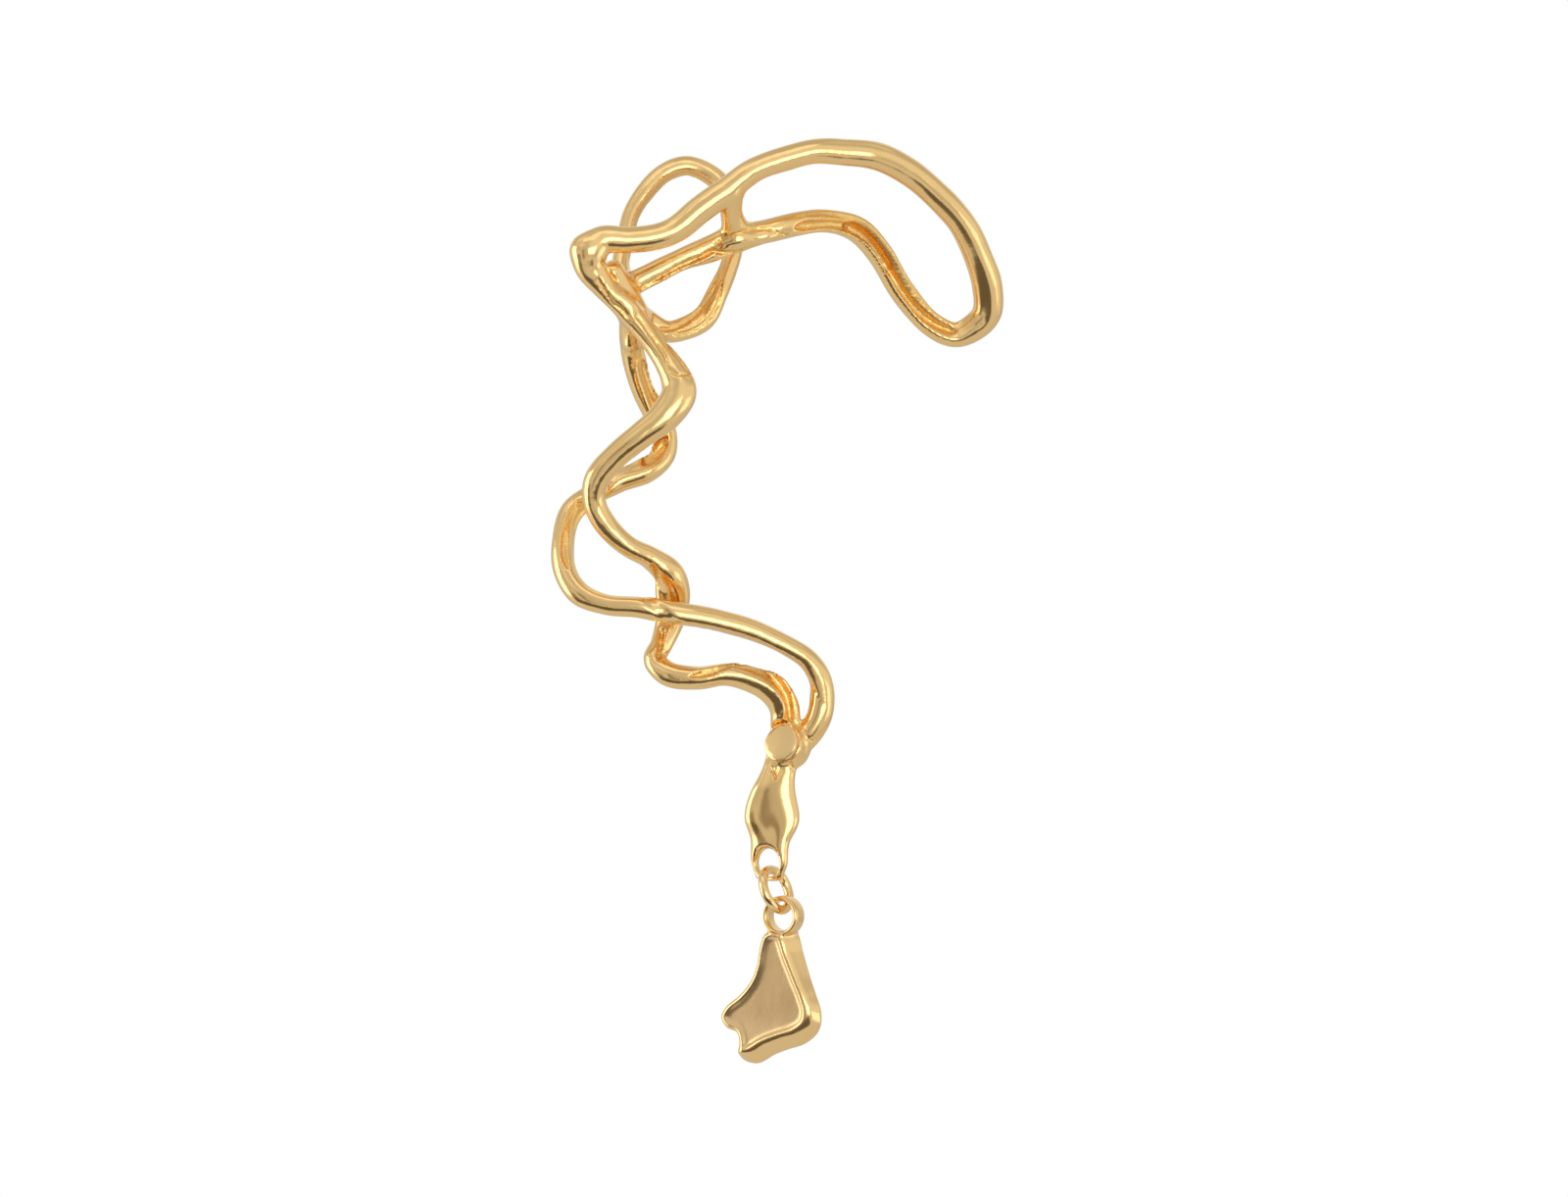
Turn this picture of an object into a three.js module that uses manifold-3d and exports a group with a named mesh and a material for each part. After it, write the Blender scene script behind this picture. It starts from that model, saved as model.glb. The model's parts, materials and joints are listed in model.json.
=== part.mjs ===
// An ear cuff in polished cast metal. A long hook of round wire goes over the root of the ear and
// runs down the front as two strands that twist round each other. Both end in a lug with a flat-headed
// lobe stud. Below it a vase-shaped bar ends in an eye, and a jump ring carries a dished pendant.
//
// Millimetres and degrees. +X is to the viewer's right, +Y goes away from the viewer, +Z is up.
// The origin is on the underside of the hook, where it sits on the ear.

import * as THREE from 'three';
import { mergeVertices } from 'three/addons/utils/BufferGeometryUtils.js';
import Module from 'manifold-3d';

const wasm = await Module();
wasm.setup();

// Driving sizes
const CUFF = { wide: 44, tall: 72, deep: 14 };
const STRAND = { radius: 1.25, sides: 10, steps: 2 };
const BAR = { halfWidth: 2.7, halfDepth: 0.85, corner: 2.6, sides: 14 };
const EYE = { hole: 1.35, rim: 0.6, halfDepth: 0.62, yaw: 32, sides: 16 };
const RING = { inside: 1.6, wire: 0.45, yaw: 33, lean: 6, tip: 20, hang: 12, sides: 16, wireSides: 6 };
const BAIL = { hole: 1.4, rim: 0.57, halfDepth: 0.9, corner: 3, sink: 0.5, sides: 16 };
const PLATE = { wide: 9.8, tall: 12.1, thick: 2.4, dish: 0.45, rim: 24, edge: 0.35, flare: 1.25, yaw: 30 };
const STUD = {
  head: 1.78, headThick: 0.55, edge: 0.15, shank: 0.7, post: 0.45, postLength: 9, yaw: 31, tilt: 17, sides: 18,
};
const LUG = { radius: 2, front: 0.9, back: 1.3, step: 0.35, stepIn: 0.2 };
const GAP = { ring: 0.24, bail: 0.36, bore: 0.12, head: 0.12 };

// Where the cast frame's own places are, in percent of its width, height and depth.
// Across starts at the left-most point, up at the bottom of the eye, deep at the foremost strand.
const SEAT = { across: 58, up: 87, deep: 50 };
const LUG_PLACE = { across: 52.3, up: 18.2, deep: 30 };
const EYE_PLACE = { across: 48.2, up: 2.7, deep: 29 };

// Rows along each strand. across, up and deep are percent of the frame, thick and flat are percent of
// STRAND.radius in the front view and in depth, dent is a groove's depth in percent of the strand's own
// radius, and faces is the groove's direction in degrees from the viewer, positive to the right of travel.
const COLUMNS = ['across', 'up', 'deep', 'thick', 'flat', 'dent', 'faces'];

const HOOK = [
  [8.5, 84.5, 0, 110, 108, 0, 0],
  [12, 86, 1, 102, 102, 0, 0],
  [17.5, 86, 3, 100, 100, 0, 0],
  [24, 86.5, 5, 100, 100, 0, 0],
  [28, 87.5, 7, 102, 102, 0, 0],
  [33, 90, 9, 108, 104, 0, 0],
  [38.5, 92.5, 11, 102, 102, 0, 0],
  [45, 95.5, 14, 95, 95, 0, 0],
  [51.5, 97, 18, 96, 96, 0, 0],
  [58, 98, 22, 97, 97, 0, 0],
  [65, 98, 28, 105, 100, 0, 0],
  [72, 97.5, 35, 110, 104, 0, 0],
  [79, 95.5, 45, 110, 104, 0, 0],
  [85, 92.5, 55, 107, 102, 0, 0],
  [90.5, 89, 65, 107, 102, 0, 0],
  [94, 85, 77, 110, 104, 0, 0],
  [96.5, 80.5, 89, 118, 108, 0, 0],
  [96.5, 77, 96, 118, 108, 0, 0],
  [93.5, 75, 99, 108, 104, 10, 40],
  [89.5, 74, 100, 98, 98, 25, 20],
  [84, 75.5, 95, 98, 98, 40, 20],
  [78, 79.5, 87, 100, 100, 45, 22],
  [73, 84.5, 76, 102, 100, 60, 25],
  [67.5, 88, 65, 104, 100, 55, 25],
  [61, 89, 54, 88, 95, 35, 20],
  [54, 88.5, 45, 95, 95, 15, 10],
  [47.5, 87.5, 40, 88, 92, 0, 0],
  [41, 86.5, 36, 112, 98, 25, -10],
  [35, 85, 33, 104, 92, 45, -15],
  [28.5, 83.5, 30, 88, 88, 45, -15],
  [22, 81.5, 27, 90, 90, 30, -10],
  [17, 80, 26, 100, 100, 0, 0],
];

const LOOP = [
  [16.5, 79.5, 30, 92, 92, 0, 0],
  [15.5, 83, 39, 68, 75, 15, 60],
  [16.5, 86.5, 48, 70, 78, 30, 70],
  [18, 90, 54, 74, 80, 40, 70],
  [21, 93, 58, 80, 82, 40, 70],
  [25, 95.5, 62, 80, 82, 40, 70],
  [30, 96.5, 64, 85, 85, 40, 70],
  [34.5, 95.5, 64, 87, 85, 45, 70],
  [38, 93.5, 61, 79, 82, 45, 70],
  [40, 90.5, 59, 75, 80, 35, 65],
  [40.5, 86.5, 55, 75, 78, 25, 60],
  [39, 82.5, 51, 73, 76, 30, 50],
  [36.5, 79, 46, 76, 78, 45, 40],
  [34, 76, 43, 96, 85, 35, 40],
  [30, 74.5, 39, 88, 82, 40, 35],
  [25.5, 74, 34, 76, 80, 25, 30],
  [20, 76, 25, 84, 84, 0, 0],
];

const SPINE = [
  [8.5, 84.5, 0, 110, 108, 0, 0],
  [8.5, 82.5, 1, 90, 95, 0, 0],
  [11.5, 80, 4, 78, 88, 0, 0],
  [15.5, 77.5, 7, 82, 88, 0, 0],
  [19.5, 75, 9, 95, 95, 10, -50],
  [24, 71.5, 8, 95, 95, 35, -35],
  [27.5, 68, 5, 118, 104, 10, -35],
  [28.5, 65.5, 2, 140, 112, 0, 0],
  [25.5, 62.5, -1, 122, 104, 0, 0],
  [20.5, 60, -1, 102, 98, 0, 0],
  [14.5, 57, 2, 98, 97, 0, 0],
  [10.5, 54, 5, 98, 98, 0, 0],
  [10, 51, 9, 88, 92, 0, 0],
  [12.5, 48, 12, 86, 90, 0, 0],
  [17.5, 45, 16, 84, 88, 15, 70],
  [22, 43.5, 21, 92, 90, 30, 70],
  [26, 41.5, 26, 118, 102, 40, 50],
  [27, 39, 34, 142, 108, 45, 20],
  [26.5, 35.5, 38, 115, 100, 40, 0],
  [24.5, 32, 34, 84, 88, 40, -10],
  [23, 30, 29, 86, 88, 15, -40],
  [26, 28, 24, 98, 96, 0, 0],
  [32.5, 27.5, 21, 88, 92, 10, -60],
  [38.5, 28, 21, 92, 92, 20, -70],
  [44, 27.5, 24, 110, 100, 40, -55],
  [49, 26, 27, 128, 106, 60, -50],
  [51.5, 23.5, 31, 114, 102, 55, -50],
  [51.5, 20, 34, 106, 106, 0, 0],
];

const WRAP = [
  [18, 74.5, 24, 92, 92, 0, 0],
  [18, 72, 34, 90, 90, 25, -50],
  [19, 69, 42, 94, 92, 50, -45],
  [20.5, 66, 49, 92, 92, 55, -45],
  [23, 63, 56, 92, 92, 50, -20],
  [25, 60.5, 59, 95, 95, 50, 10],
  [24.5, 57.5, 56, 100, 98, 60, 25],
  [21, 55.5, 51, 104, 98, 30, 40],
  [15, 54, 49, 88, 90, 15, 60],
  [9, 52, 44, 86, 90, 30, -40],
  [4.5, 49.5, 36, 92, 92, 45, -50],
  [3, 46, 29, 92, 92, 35, -60],
  [3.5, 42, 22, 95, 95, 30, -75],
  [6.5, 39, 16, 100, 98, 20, -80],
  [12, 37.5, 13, 84, 90, 15, -80],
  [20, 37, 12, 88, 90, 15, -85],
  [28.5, 36, 13, 93, 92, 15, 80],
  [37, 35, 16, 94, 92, 30, 80],
  [45.5, 33.5, 19, 93, 92, 30, 80],
  [52.5, 31.5, 22, 85, 88, 20, 85],
  [57, 29.5, 26, 88, 88, 15, 85],
  [59.5, 26.5, 29, 96, 92, 15, 80],
  [59.5, 23, 31, 96, 96, 0, 0],
  [57, 20, 32, 98, 98, 0, 0],
  [53, 18, 33, 104, 100, 0, 0],
];

// The cast webs where strands flow together
const WEBS = {
  hookBridge: [
    [39.5, 92, 14, 75, 90, 0, 0],
    [39.5, 89.5, 24, 62, 85, 0, 0],
    [40.5, 87, 34, 80, 90, 0, 0],
  ],
  shoulder: [
    [14, 82, 12, 80, 100, 0, 0],
    [16.5, 78.5, 18, 120, 120, 0, 0],
    [18.5, 75.5, 20, 95, 120, 0, 0],
    [18, 72.5, 26, 70, 100, 0, 0],
  ],
};

// Rows down the vase-shaped bar: wide is percent of BAR.halfWidth, flat is percent of BAR.halfDepth,
// and yaw is how far its face is turned to the left
const BAR_COLUMNS = ['across', 'up', 'deep', 'wide', 'flat', 'yaw'];
const BAR_ROWS = [
  [52, 19, 31, 66, 110, 5],
  [51, 16.5, 30, 60, 100, 8],
  [50, 14.5, 29, 62, 105, 10],
  [49, 12.5, 29, 78, 118, 10],
  [48.8, 10.2, 29, 98, 125, 10],
  [48.8, 8.3, 29, 103, 125, 12],
  [48.8, 6.8, 29, 86, 105, 18],
  [48.4, 5.4, 29, 71, 88, 26],
  [48.2, 3.8, 29, 76, 76, 32],
  [48.2, 2.2, 29, 74, 74, 32],
  [48.2, 1.2, 29, 58, 66, 32],
];
const BAR_TIP = 0.75;

// The pendant's front outline, clockwise from its top as percent of its width and height, and how far the
// back outline stands out past it in percent of PLATE.flare
const PLATE_COLUMNS = ['across', 'up', 'flare'];
const PLATE_ROWS = [
  [62, 100, 35],
  [72, 97, 70],
  [79, 82, 65],
  [88, 64, 50],
  [96, 49, 40],
  [100, 36, 55],
  [96, 26, 90],
  [84, 19, 100],
  [66, 14.5, 100],
  [48, 9, 100],
  [32, 2, 100],
  [22, 2, 60],
  [21.5, 10, 15],
  [18, 18, 5],
  [6, 22, 10],
  [0, 30, 10],
  [6, 39, 0],
  [21, 48, 0],
  [34, 59, 0],
  [42, 72, 0],
  [46, 86, 0],
  [52, 97, 30],
];
const PLATE_TOP = { across: 69, up: 100 };
const PLATE_STEPS = 2;

const VIEWER = new THREE.Vector3(0, -1, 0);
const UP = new THREE.Vector3(0, 0, 1);
const PERCENT = 0.01;
const rad = THREE.MathUtils.degToRad;

/** A table row as an object with the columns' names. */
const named = (columns, row) => Object.fromEntries(columns.map((key, i) => [key, row[i]]));

/** The point at a percent of the frame's width, height and depth. */
function place({ across, up, deep }) {
  return new THREE.Vector3(
    (across - SEAT.across) * PERCENT * CUFF.wide,
    (deep - SEAT.deep) * PERCENT * CUFF.deep,
    (up - SEAT.up) * PERCENT * CUFF.tall,
  );
}

/** The direction that a face turned to the left by yaw and up by tilt looks in. */
function facing(yaw, tilt = 0) {
  return new THREE.Vector3(
    -Math.sin(rad(yaw)) * Math.cos(rad(tilt)), -Math.cos(rad(yaw)) * Math.cos(rad(tilt)), Math.sin(rad(tilt)),
  );
}

/** A closed BufferGeometry from points and triangles of indices. */
function closedMesh(points, triangles) {
  const geometry = new THREE.BufferGeometry();
  geometry.setAttribute('position', new THREE.Float32BufferAttribute(points.flatMap((p) => p.toArray()), 3));
  geometry.setIndex(triangles.flat());
  return geometry;
}

/** A closed mesh through rings that all have the same number of points, with a point at each end. */
function skin(rings, first, last) {
  const count = rings[0].length;
  const points = [first, ...rings.flat(), last];
  const end = points.length - 1;
  const triangles = [];
  for (let i = 0; i < count; i += 1) {
    const next = (i + 1) % count;
    triangles.push([0, 1 + next, 1 + i]);
    for (let r = 0; r < rings.length - 1; r += 1) {
      const near = 1 + r * count;
      const far = near + count;
      triangles.push([near + i, near + next, far + next], [near + i, far + next, far + i]);
    }
    const tail = 1 + (rings.length - 1) * count;
    triangles.push([end, tail + i, tail + next]);
  }
  return closedMesh(points, triangles);
}

/** The value of one column between two rows. */
const between = (a, b, key, share) => a[key] + (b[key] - a[key]) * share;

/** A value between -1 and 1 pushed outward, which turns an ellipse's section into a rounded box's. */
const boxed = (value, power) => Math.sign(value) * Math.abs(value) ** (2 / power);

/** Points round one section: an ellipse or rounded box with a groove in it. */
function section({ centre, side, face, a, b, dent = 0, faces = 0 }, sides, power) {
  const grooveHalf = rad(38);
  return Array.from({ length: sides }, (_, i) => {
    const angle = (i / sides) * 2 * Math.PI;
    const turn = Math.atan2(Math.sin(angle - rad(faces)), Math.cos(angle - rad(faces)));
    const hollow = 1 - dent * PERCENT * Math.exp(-((turn / grooveHalf) ** 2));
    return centre.clone()
      .addScaledVector(face, b * hollow * boxed(Math.cos(angle), power))
      .addScaledVector(side, a * hollow * boxed(Math.sin(angle), power));
  });
}

/** Rings that round off an end: the end's own section, made smaller towards a tip. */
function cap(station, outward, height, sides, power) {
  return [40, 72].map((angle) => section({
    ...station,
    centre: station.centre.clone().addScaledVector(outward, height * Math.sin(rad(angle))),
    a: station.a * Math.cos(rad(angle)),
    b: station.b * Math.cos(rad(angle)),
    dent: 0,
  }, sides, power));
}

/** A round-ended solid through stations, each with its centre, directions and half sizes. */
function loft(stations, sides, power, startHeight, endHeight) {
  const first = stations[0];
  const last = stations.at(-1);
  const back = first.along.clone().negate();
  const rings = [
    ...cap(first, back, startHeight, sides, power).reverse(),
    ...stations.map((station) => section(station, sides, power)),
    ...cap(last, last.along, endHeight, sides, power),
  ];
  return skin(
    rings,
    first.centre.clone().addScaledVector(back, startHeight),
    last.centre.clone().addScaledVector(last.along, endHeight),
  );
}

/** A strand's solid from its table. */
function strand(table) {
  const rows = table.map((row) => named(COLUMNS, row));
  const line = new THREE.CatmullRomCurve3(rows.map(place), false, 'centripetal');
  const spans = rows.length - 1;
  const stations = Array.from({ length: spans * STRAND.steps + 1 }, (_, i) => {
    const position = i / STRAND.steps;
    const row = Math.min(Math.floor(position), spans - 1);
    const share = position - row;
    const value = (key) => between(rows[row], rows[row + 1], key, share);
    const along = line.getTangent(position / spans);
    const face = VIEWER.clone().addScaledVector(along, -VIEWER.dot(along)).normalize();
    return {
      centre: line.getPoint(position / spans),
      along,
      face,
      side: along.clone().cross(face),
      a: value('thick') * PERCENT * STRAND.radius,
      b: value('flat') * PERCENT * STRAND.radius,
      dent: value('dent'),
      faces: value('faces'),
    };
  });
  const first = stations[0];
  return loft(stations, STRAND.sides, 2, first.a, stations.at(-1).a);
}

/** The vase-shaped bar, before its eye is cut. */
function vaseBar() {
  const rows = BAR_ROWS.map((row) => named(BAR_COLUMNS, row));
  const line = new THREE.CatmullRomCurve3(rows.map(place), false, 'centripetal');
  const spans = rows.length - 1;
  const down = UP.clone().negate();
  const stations = Array.from({ length: spans * STRAND.steps + 1 }, (_, i) => {
    const position = i / STRAND.steps;
    const row = Math.min(Math.floor(position), spans - 1);
    const share = position - row;
    const value = (key) => between(rows[row], rows[row + 1], key, share);
    const face = facing(value('yaw'));
    return {
      centre: line.getPoint(position / spans),
      along: down,
      face,
      side: down.clone().cross(face),
      a: value('wide') * PERCENT * BAR.halfWidth,
      b: value('flat') * PERCENT * BAR.halfDepth,
    };
  });
  return loft(stations, BAR.sides, BAR.corner, BAR.halfDepth, BAR_TIP);
}

/** A solid of revolution about an axis through a point, from a profile of [radius, height] pairs. */
function turned(profile, sides, centre, axis) {
  const geometry = welded(new THREE.LatheGeometry(profile.map(([r, h]) => new THREE.Vector2(r, h)), sides), 1e-5);
  geometry.applyQuaternion(new THREE.Quaternion().setFromUnitVectors(new THREE.Vector3(0, 1, 0), axis));
  return geometry.translate(...centre.toArray());
}

/** A ring of rounded box section: hole radius, radial rim and half its depth. */
function bandRing({ hole, rim, halfDepth, corner, sides }, centre, axis) {
  const corners = 12;
  const profile = Array.from({ length: corners + 1 }, (_, i) => {
    const angle = (i / corners) * 2 * Math.PI;
    return [
      hole + rim / 2 + (rim / 2) * boxed(Math.cos(angle), corner), halfDepth * boxed(Math.sin(angle), corner),
    ];
  });
  return turned(profile, sides, centre, axis);
}

/** A plug of a round hole with a rounded rim, flared past its faces, that cuts such a hole in something else. */
function flaredPlug({ hole, rim, halfDepth, sides }, centre, axis) {
  const steps = [-90, -60, -30, 0, 30, 60, 90];
  const reach = 2 * halfDepth;
  const profile = steps.map((angle) => [
    hole + (rim / 2) * (1 - Math.cos(rad(angle))), halfDepth * Math.sin(rad(angle)),
  ]);
  const mouth = hole + rim / 2;
  return turned([[0, -reach], [mouth, -reach], ...profile, [mouth, reach], [0, reach]], sides, centre, axis);
}

/** A geometry with its shared vertices merged and no triangle that has shrunk to a line. */
function welded(geometry, tolerance) {
  const bare = geometry.clone();
  bare.deleteAttribute('normal');
  bare.deleteAttribute('uv');
  const merged = mergeVertices(bare, tolerance);
  const corners = Array.from(merged.index.array);
  const triangles = [];
  for (let i = 0; i < corners.length; i += 3) {
    const [a, b, c] = corners.slice(i, i + 3);
    if (a !== b && b !== c && c !== a) triangles.push(a, b, c);
  }
  merged.setIndex(triangles);
  return merged;
}

/** A closed mesh as a solid that can be joined and cut. */
function solid(geometry) {
  return new wasm.Manifold(new wasm.Mesh({
    numProp: 3,
    vertProperties: new Float32Array(geometry.attributes.position.array),
    triVerts: new Uint32Array(geometry.index.array),
  }));
}

/** A solid as a geometry for a mesh. */
function geometryOf(made) {
  const mesh = made.getMesh();
  const geometry = new THREE.BufferGeometry();
  geometry.setAttribute('position', new THREE.BufferAttribute(new Float32Array(mesh.vertProperties), 3));
  geometry.setIndex(Array.from(mesh.triVerts));
  return welded(geometry, 1e-3);
}

// The stud's head faces the front, up and left. Its post goes straight back through the lug.
const studAxis = facing(STUD.yaw, STUD.tilt);
const lugCentre = place(LUG_PLACE);
const headCentre = lugCentre.clone().addScaledVector(studAxis, LUG.front + GAP.head + STUD.headThick / 2);
const BACK = new THREE.Vector3(0, 1, 0);
const eyeCentre = place(EYE_PLACE);
const eyeAxis = facing(EYE.yaw);

// The ring hangs on the eye's lower rim, a little to the right of its lowest point. It is turned edge-on
// to the left, leans in its own plane and is tipped out of it. The bail hangs on the ring's lowest wire.
const ringWay = facing(RING.yaw).negate();
const ringAxis = facing(-(90 - RING.yaw)).applyAxisAngle(ringWay, -rad(RING.tip));
const ringDown = UP.clone().negate().applyAxisAngle(ringWay, -rad(RING.tip)).applyAxisAngle(ringAxis, rad(RING.lean));
const hangWay = UP.clone().negate().applyAxisAngle(eyeAxis, rad(RING.hang));
const rimCentre = eyeCentre.clone().addScaledVector(hangWay, EYE.hole + EYE.rim / 2);
const ringMiddle = RING.inside + RING.wire;
const ringCentre = rimCentre.clone().addScaledVector(ringDown, RING.inside - EYE.rim / 2 - GAP.ring);
const wireCentre = ringCentre.clone().addScaledVector(ringDown, ringMiddle);
const bailAxis = facing(PLATE.yaw);
const bailCentre = wireCentre.clone().addScaledVector(UP, -(BAIL.hole - RING.wire - GAP.bail));

/** The frame: every cast strand, web, lug, bar and eye in one piece. */
function cuffFrame() {
  const lug = turned([
    [0, -LUG.back], [LUG.radius - LUG.step, -LUG.back], [LUG.radius, -LUG.back + LUG.step],
    [LUG.radius, LUG.front - LUG.step], [LUG.radius - LUG.stepIn, LUG.front - LUG.step],
    [LUG.radius - LUG.stepIn, LUG.front + LUG.step], [0, LUG.front + LUG.step],
  ], STUD.sides, lugCentre, studAxis);
  const reach = CUFF.deep;
  const bore = turned([
    [0, -reach], [STUD.shank + GAP.bore, -reach], [STUD.shank + GAP.bore, reach], [0, reach],
  ], STUD.sides, headCentre, BACK);
  const frontCut = turned([
    [0, LUG.front], [LUG.radius + LUG.step, LUG.front], [LUG.radius + LUG.step, reach], [0, reach],
  ], STUD.sides - 3, lugCentre, studAxis);
  return [HOOK, LOOP, SPINE, WRAP, ...Object.values(WEBS)].map((table) => solid(strand(table)))
    .concat(solid(vaseBar()), solid(lug))
    .reduce((whole, piece) => whole.add(piece))
    .subtract(solid(bore))
    .subtract(solid(frontCut))
    .subtract(solid(flaredPlug(EYE, eyeCentre, eyeAxis)));
}

/** The lobe stud: flat round head, shank through the lug and a plain post behind it. */
function lobeStud() {
  const half = STUD.headThick / 2;
  const head = turned([
    [0, -half], [STUD.head, -half], [STUD.head, half - STUD.edge], [STUD.head - STUD.edge, half], [0, half],
  ], STUD.sides, headCentre, studAxis);
  const shankEnd = STUD.headThick + LUG.front + LUG.back;
  const post = turned([
    [0, STUD.edge], [STUD.shank, STUD.edge], [STUD.shank, shankEnd], [STUD.post, shankEnd],
    [STUD.post, shankEnd + STUD.postLength], [0, shankEnd + STUD.postLength],
  ], STUD.sides, headCentre, BACK);
  return solid(head).add(solid(post));
}

/** The plain round jump ring. */
function jumpRing() {
  const ring = welded(new THREE.TorusGeometry(ringMiddle, RING.wire, RING.wireSides, RING.sides), 1e-5);
  ring.rotateZ(Math.PI / RING.sides);
  const across = ringAxis.clone().cross(ringDown);
  const turn = new THREE.Matrix4().makeBasis(across, ringDown.clone().negate(), ringAxis);
  return solid(ring.applyMatrix4(turn).translate(...ringCentre.toArray()));
}

/** The pendant: a thick plate with a dished face and its bail, cast in one. */
function pendant() {
  const rows = PLATE_ROWS.map((row) => named(PLATE_COLUMNS, row));
  const flat = ({ across, up }) => new THREE.Vector3(
    (across - PLATE_TOP.across) * PERCENT * PLATE.wide, (up - PLATE_TOP.up) * PERCENT * PLATE.tall, 0,
  );
  const count = rows.length * PLATE_STEPS;
  const front = new THREE.CatmullRomCurve3(rows.map(flat), true, 'centripetal');
  const outline = Array.from({ length: count }, (_, i) => {
    const position = i / PLATE_STEPS;
    const row = Math.floor(position);
    const flare = between(rows[row], rows[(row + 1) % rows.length], 'flare', position - row) * PERCENT * PLATE.flare;
    const along = front.getTangent(i / count);
    return { point: front.getPoint(i / count), outward: new THREE.Vector3(-along.y, along.x, 0), flare };
  });
  const half = PLATE.thick / 2;
  const ringAt = (depth, out) => outline.map(
    ({ point, outward, flare }) => point.clone().addScaledVector(outward, out(flare)).setZ(depth),
  );
  const middle = outline.reduce((sum, { point }) => sum.add(point), new THREE.Vector3()).divideScalar(count);
  const rings = [
    outline.map(({ point }) => point.clone().lerp(middle, PLATE.rim * PERCENT).setZ(half - PLATE.dish)),
    ringAt(half - PLATE.edge / 3, () => -PLATE.edge),
    ringAt(half - PLATE.edge, () => 0),
    ringAt(-half + PLATE.edge, (flare) => flare),
    ringAt(-half, (flare) => flare - PLATE.edge),
  ];
  const plate = skin(rings, middle.clone().setZ(half - PLATE.dish), middle.clone().setZ(-half));
  const across = UP.clone().cross(bailAxis);
  const neck = bailCentre.clone().addScaledVector(UP, -(BAIL.hole + BAIL.rim - BAIL.sink));
  plate.applyMatrix4(new THREE.Matrix4().makeBasis(across, UP, bailAxis)).translate(...neck.toArray());
  return solid(plate).add(solid(bandRing(BAIL, bailCentre, bailAxis)));
}

/** A named mesh in one of the metal's finishes. */
function part(name, made, finish) {
  const mesh = new THREE.Mesh(geometryOf(made), new THREE.MeshStandardMaterial(finish));
  mesh.name = name;
  return mesh;
}

const POLISHED = { color: 0xd9ae6c, metalness: 1, roughness: 0.16 };
const BRIGHT = { color: 0xe0b673, metalness: 1, roughness: 0.12 };
const SATIN = { color: 0xcba66c, metalness: 1, roughness: 0.34 };

const earCuff = new THREE.Group();
earCuff.add(
  part('cuff_frame', cuffFrame(), POLISHED),
  part('lobe_stud', lobeStud(), BRIGHT),
  part('jump_ring', jumpRing(), BRIGHT),
  part('pendant', pendant(), SATIN),
);

export default earCuff;
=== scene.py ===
"""Looks of a cast gold ear cuff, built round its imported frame.

The cast frame and the pendant are modelled as smooth solid fields, where strands, webs, bar and lug flow
into each other as they do in a casting, and are then turned into fine meshes. The stud and the jump ring
are turned and bent from plain profiles. Lengths inside the modelling classes are millimetres, and each
mesh is put into metres as it is made. +X is to the right, +Y goes away from the viewer, +Z is up.
"""

from __future__ import annotations

import json
import logging
import math
from dataclasses import dataclass, field
from enum import Enum
from typing import Any, Sequence

import bpy
import numpy as np
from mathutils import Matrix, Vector

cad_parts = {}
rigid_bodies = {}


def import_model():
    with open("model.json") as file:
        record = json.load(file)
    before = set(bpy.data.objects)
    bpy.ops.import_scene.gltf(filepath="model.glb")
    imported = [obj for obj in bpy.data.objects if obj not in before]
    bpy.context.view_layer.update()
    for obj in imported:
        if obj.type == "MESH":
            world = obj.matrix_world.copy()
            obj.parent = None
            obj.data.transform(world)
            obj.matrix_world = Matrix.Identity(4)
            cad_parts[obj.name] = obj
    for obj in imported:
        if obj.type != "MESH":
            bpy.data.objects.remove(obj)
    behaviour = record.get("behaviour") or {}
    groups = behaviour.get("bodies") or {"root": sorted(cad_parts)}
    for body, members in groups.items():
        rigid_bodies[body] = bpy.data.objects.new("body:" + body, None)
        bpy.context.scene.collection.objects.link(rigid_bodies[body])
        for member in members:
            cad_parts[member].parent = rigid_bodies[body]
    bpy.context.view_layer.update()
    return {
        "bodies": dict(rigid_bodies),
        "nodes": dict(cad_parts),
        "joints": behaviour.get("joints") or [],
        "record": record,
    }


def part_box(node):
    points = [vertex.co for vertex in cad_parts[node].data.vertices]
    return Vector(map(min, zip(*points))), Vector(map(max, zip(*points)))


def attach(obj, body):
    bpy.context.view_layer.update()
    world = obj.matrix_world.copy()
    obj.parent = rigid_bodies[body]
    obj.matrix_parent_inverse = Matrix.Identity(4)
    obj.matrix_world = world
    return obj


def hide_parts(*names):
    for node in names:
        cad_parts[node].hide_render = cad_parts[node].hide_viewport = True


LOG = logging.getLogger("ear_cuff")

MM = 0.001
PERCENT = 0.01
# Millimetres that stand for no metal near.
FAR = 9.0
# Added where a division could meet zero.
TINY, LEAST = 1e-6, 1e-9
# How far before the end of a table, in steps, it is last read.
LAST_STEP = 1.001
WIRE_RADIUS = 0.45
UP = np.array([0.0, 0.0, 1.0])
BACK = np.array([0.0, 1.0, 0.0])

Row = tuple[float, ...]
Colour = tuple[float, float, float, float]
GroupParts = tuple[bpy.types.NodeTree, bpy.types.Node, bpy.types.Node]


class Body(Enum):
    """The rigid bodies that the pieces ride on."""

    CUFF = "cuff"
    RING = "ring"
    DROP = "drop"


class Slot(Enum):
    """The record's material slots."""

    POLISHED = "polished_gold"
    BRIGHT = "bright_gold"
    SATIN = "satin_gold"


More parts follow.
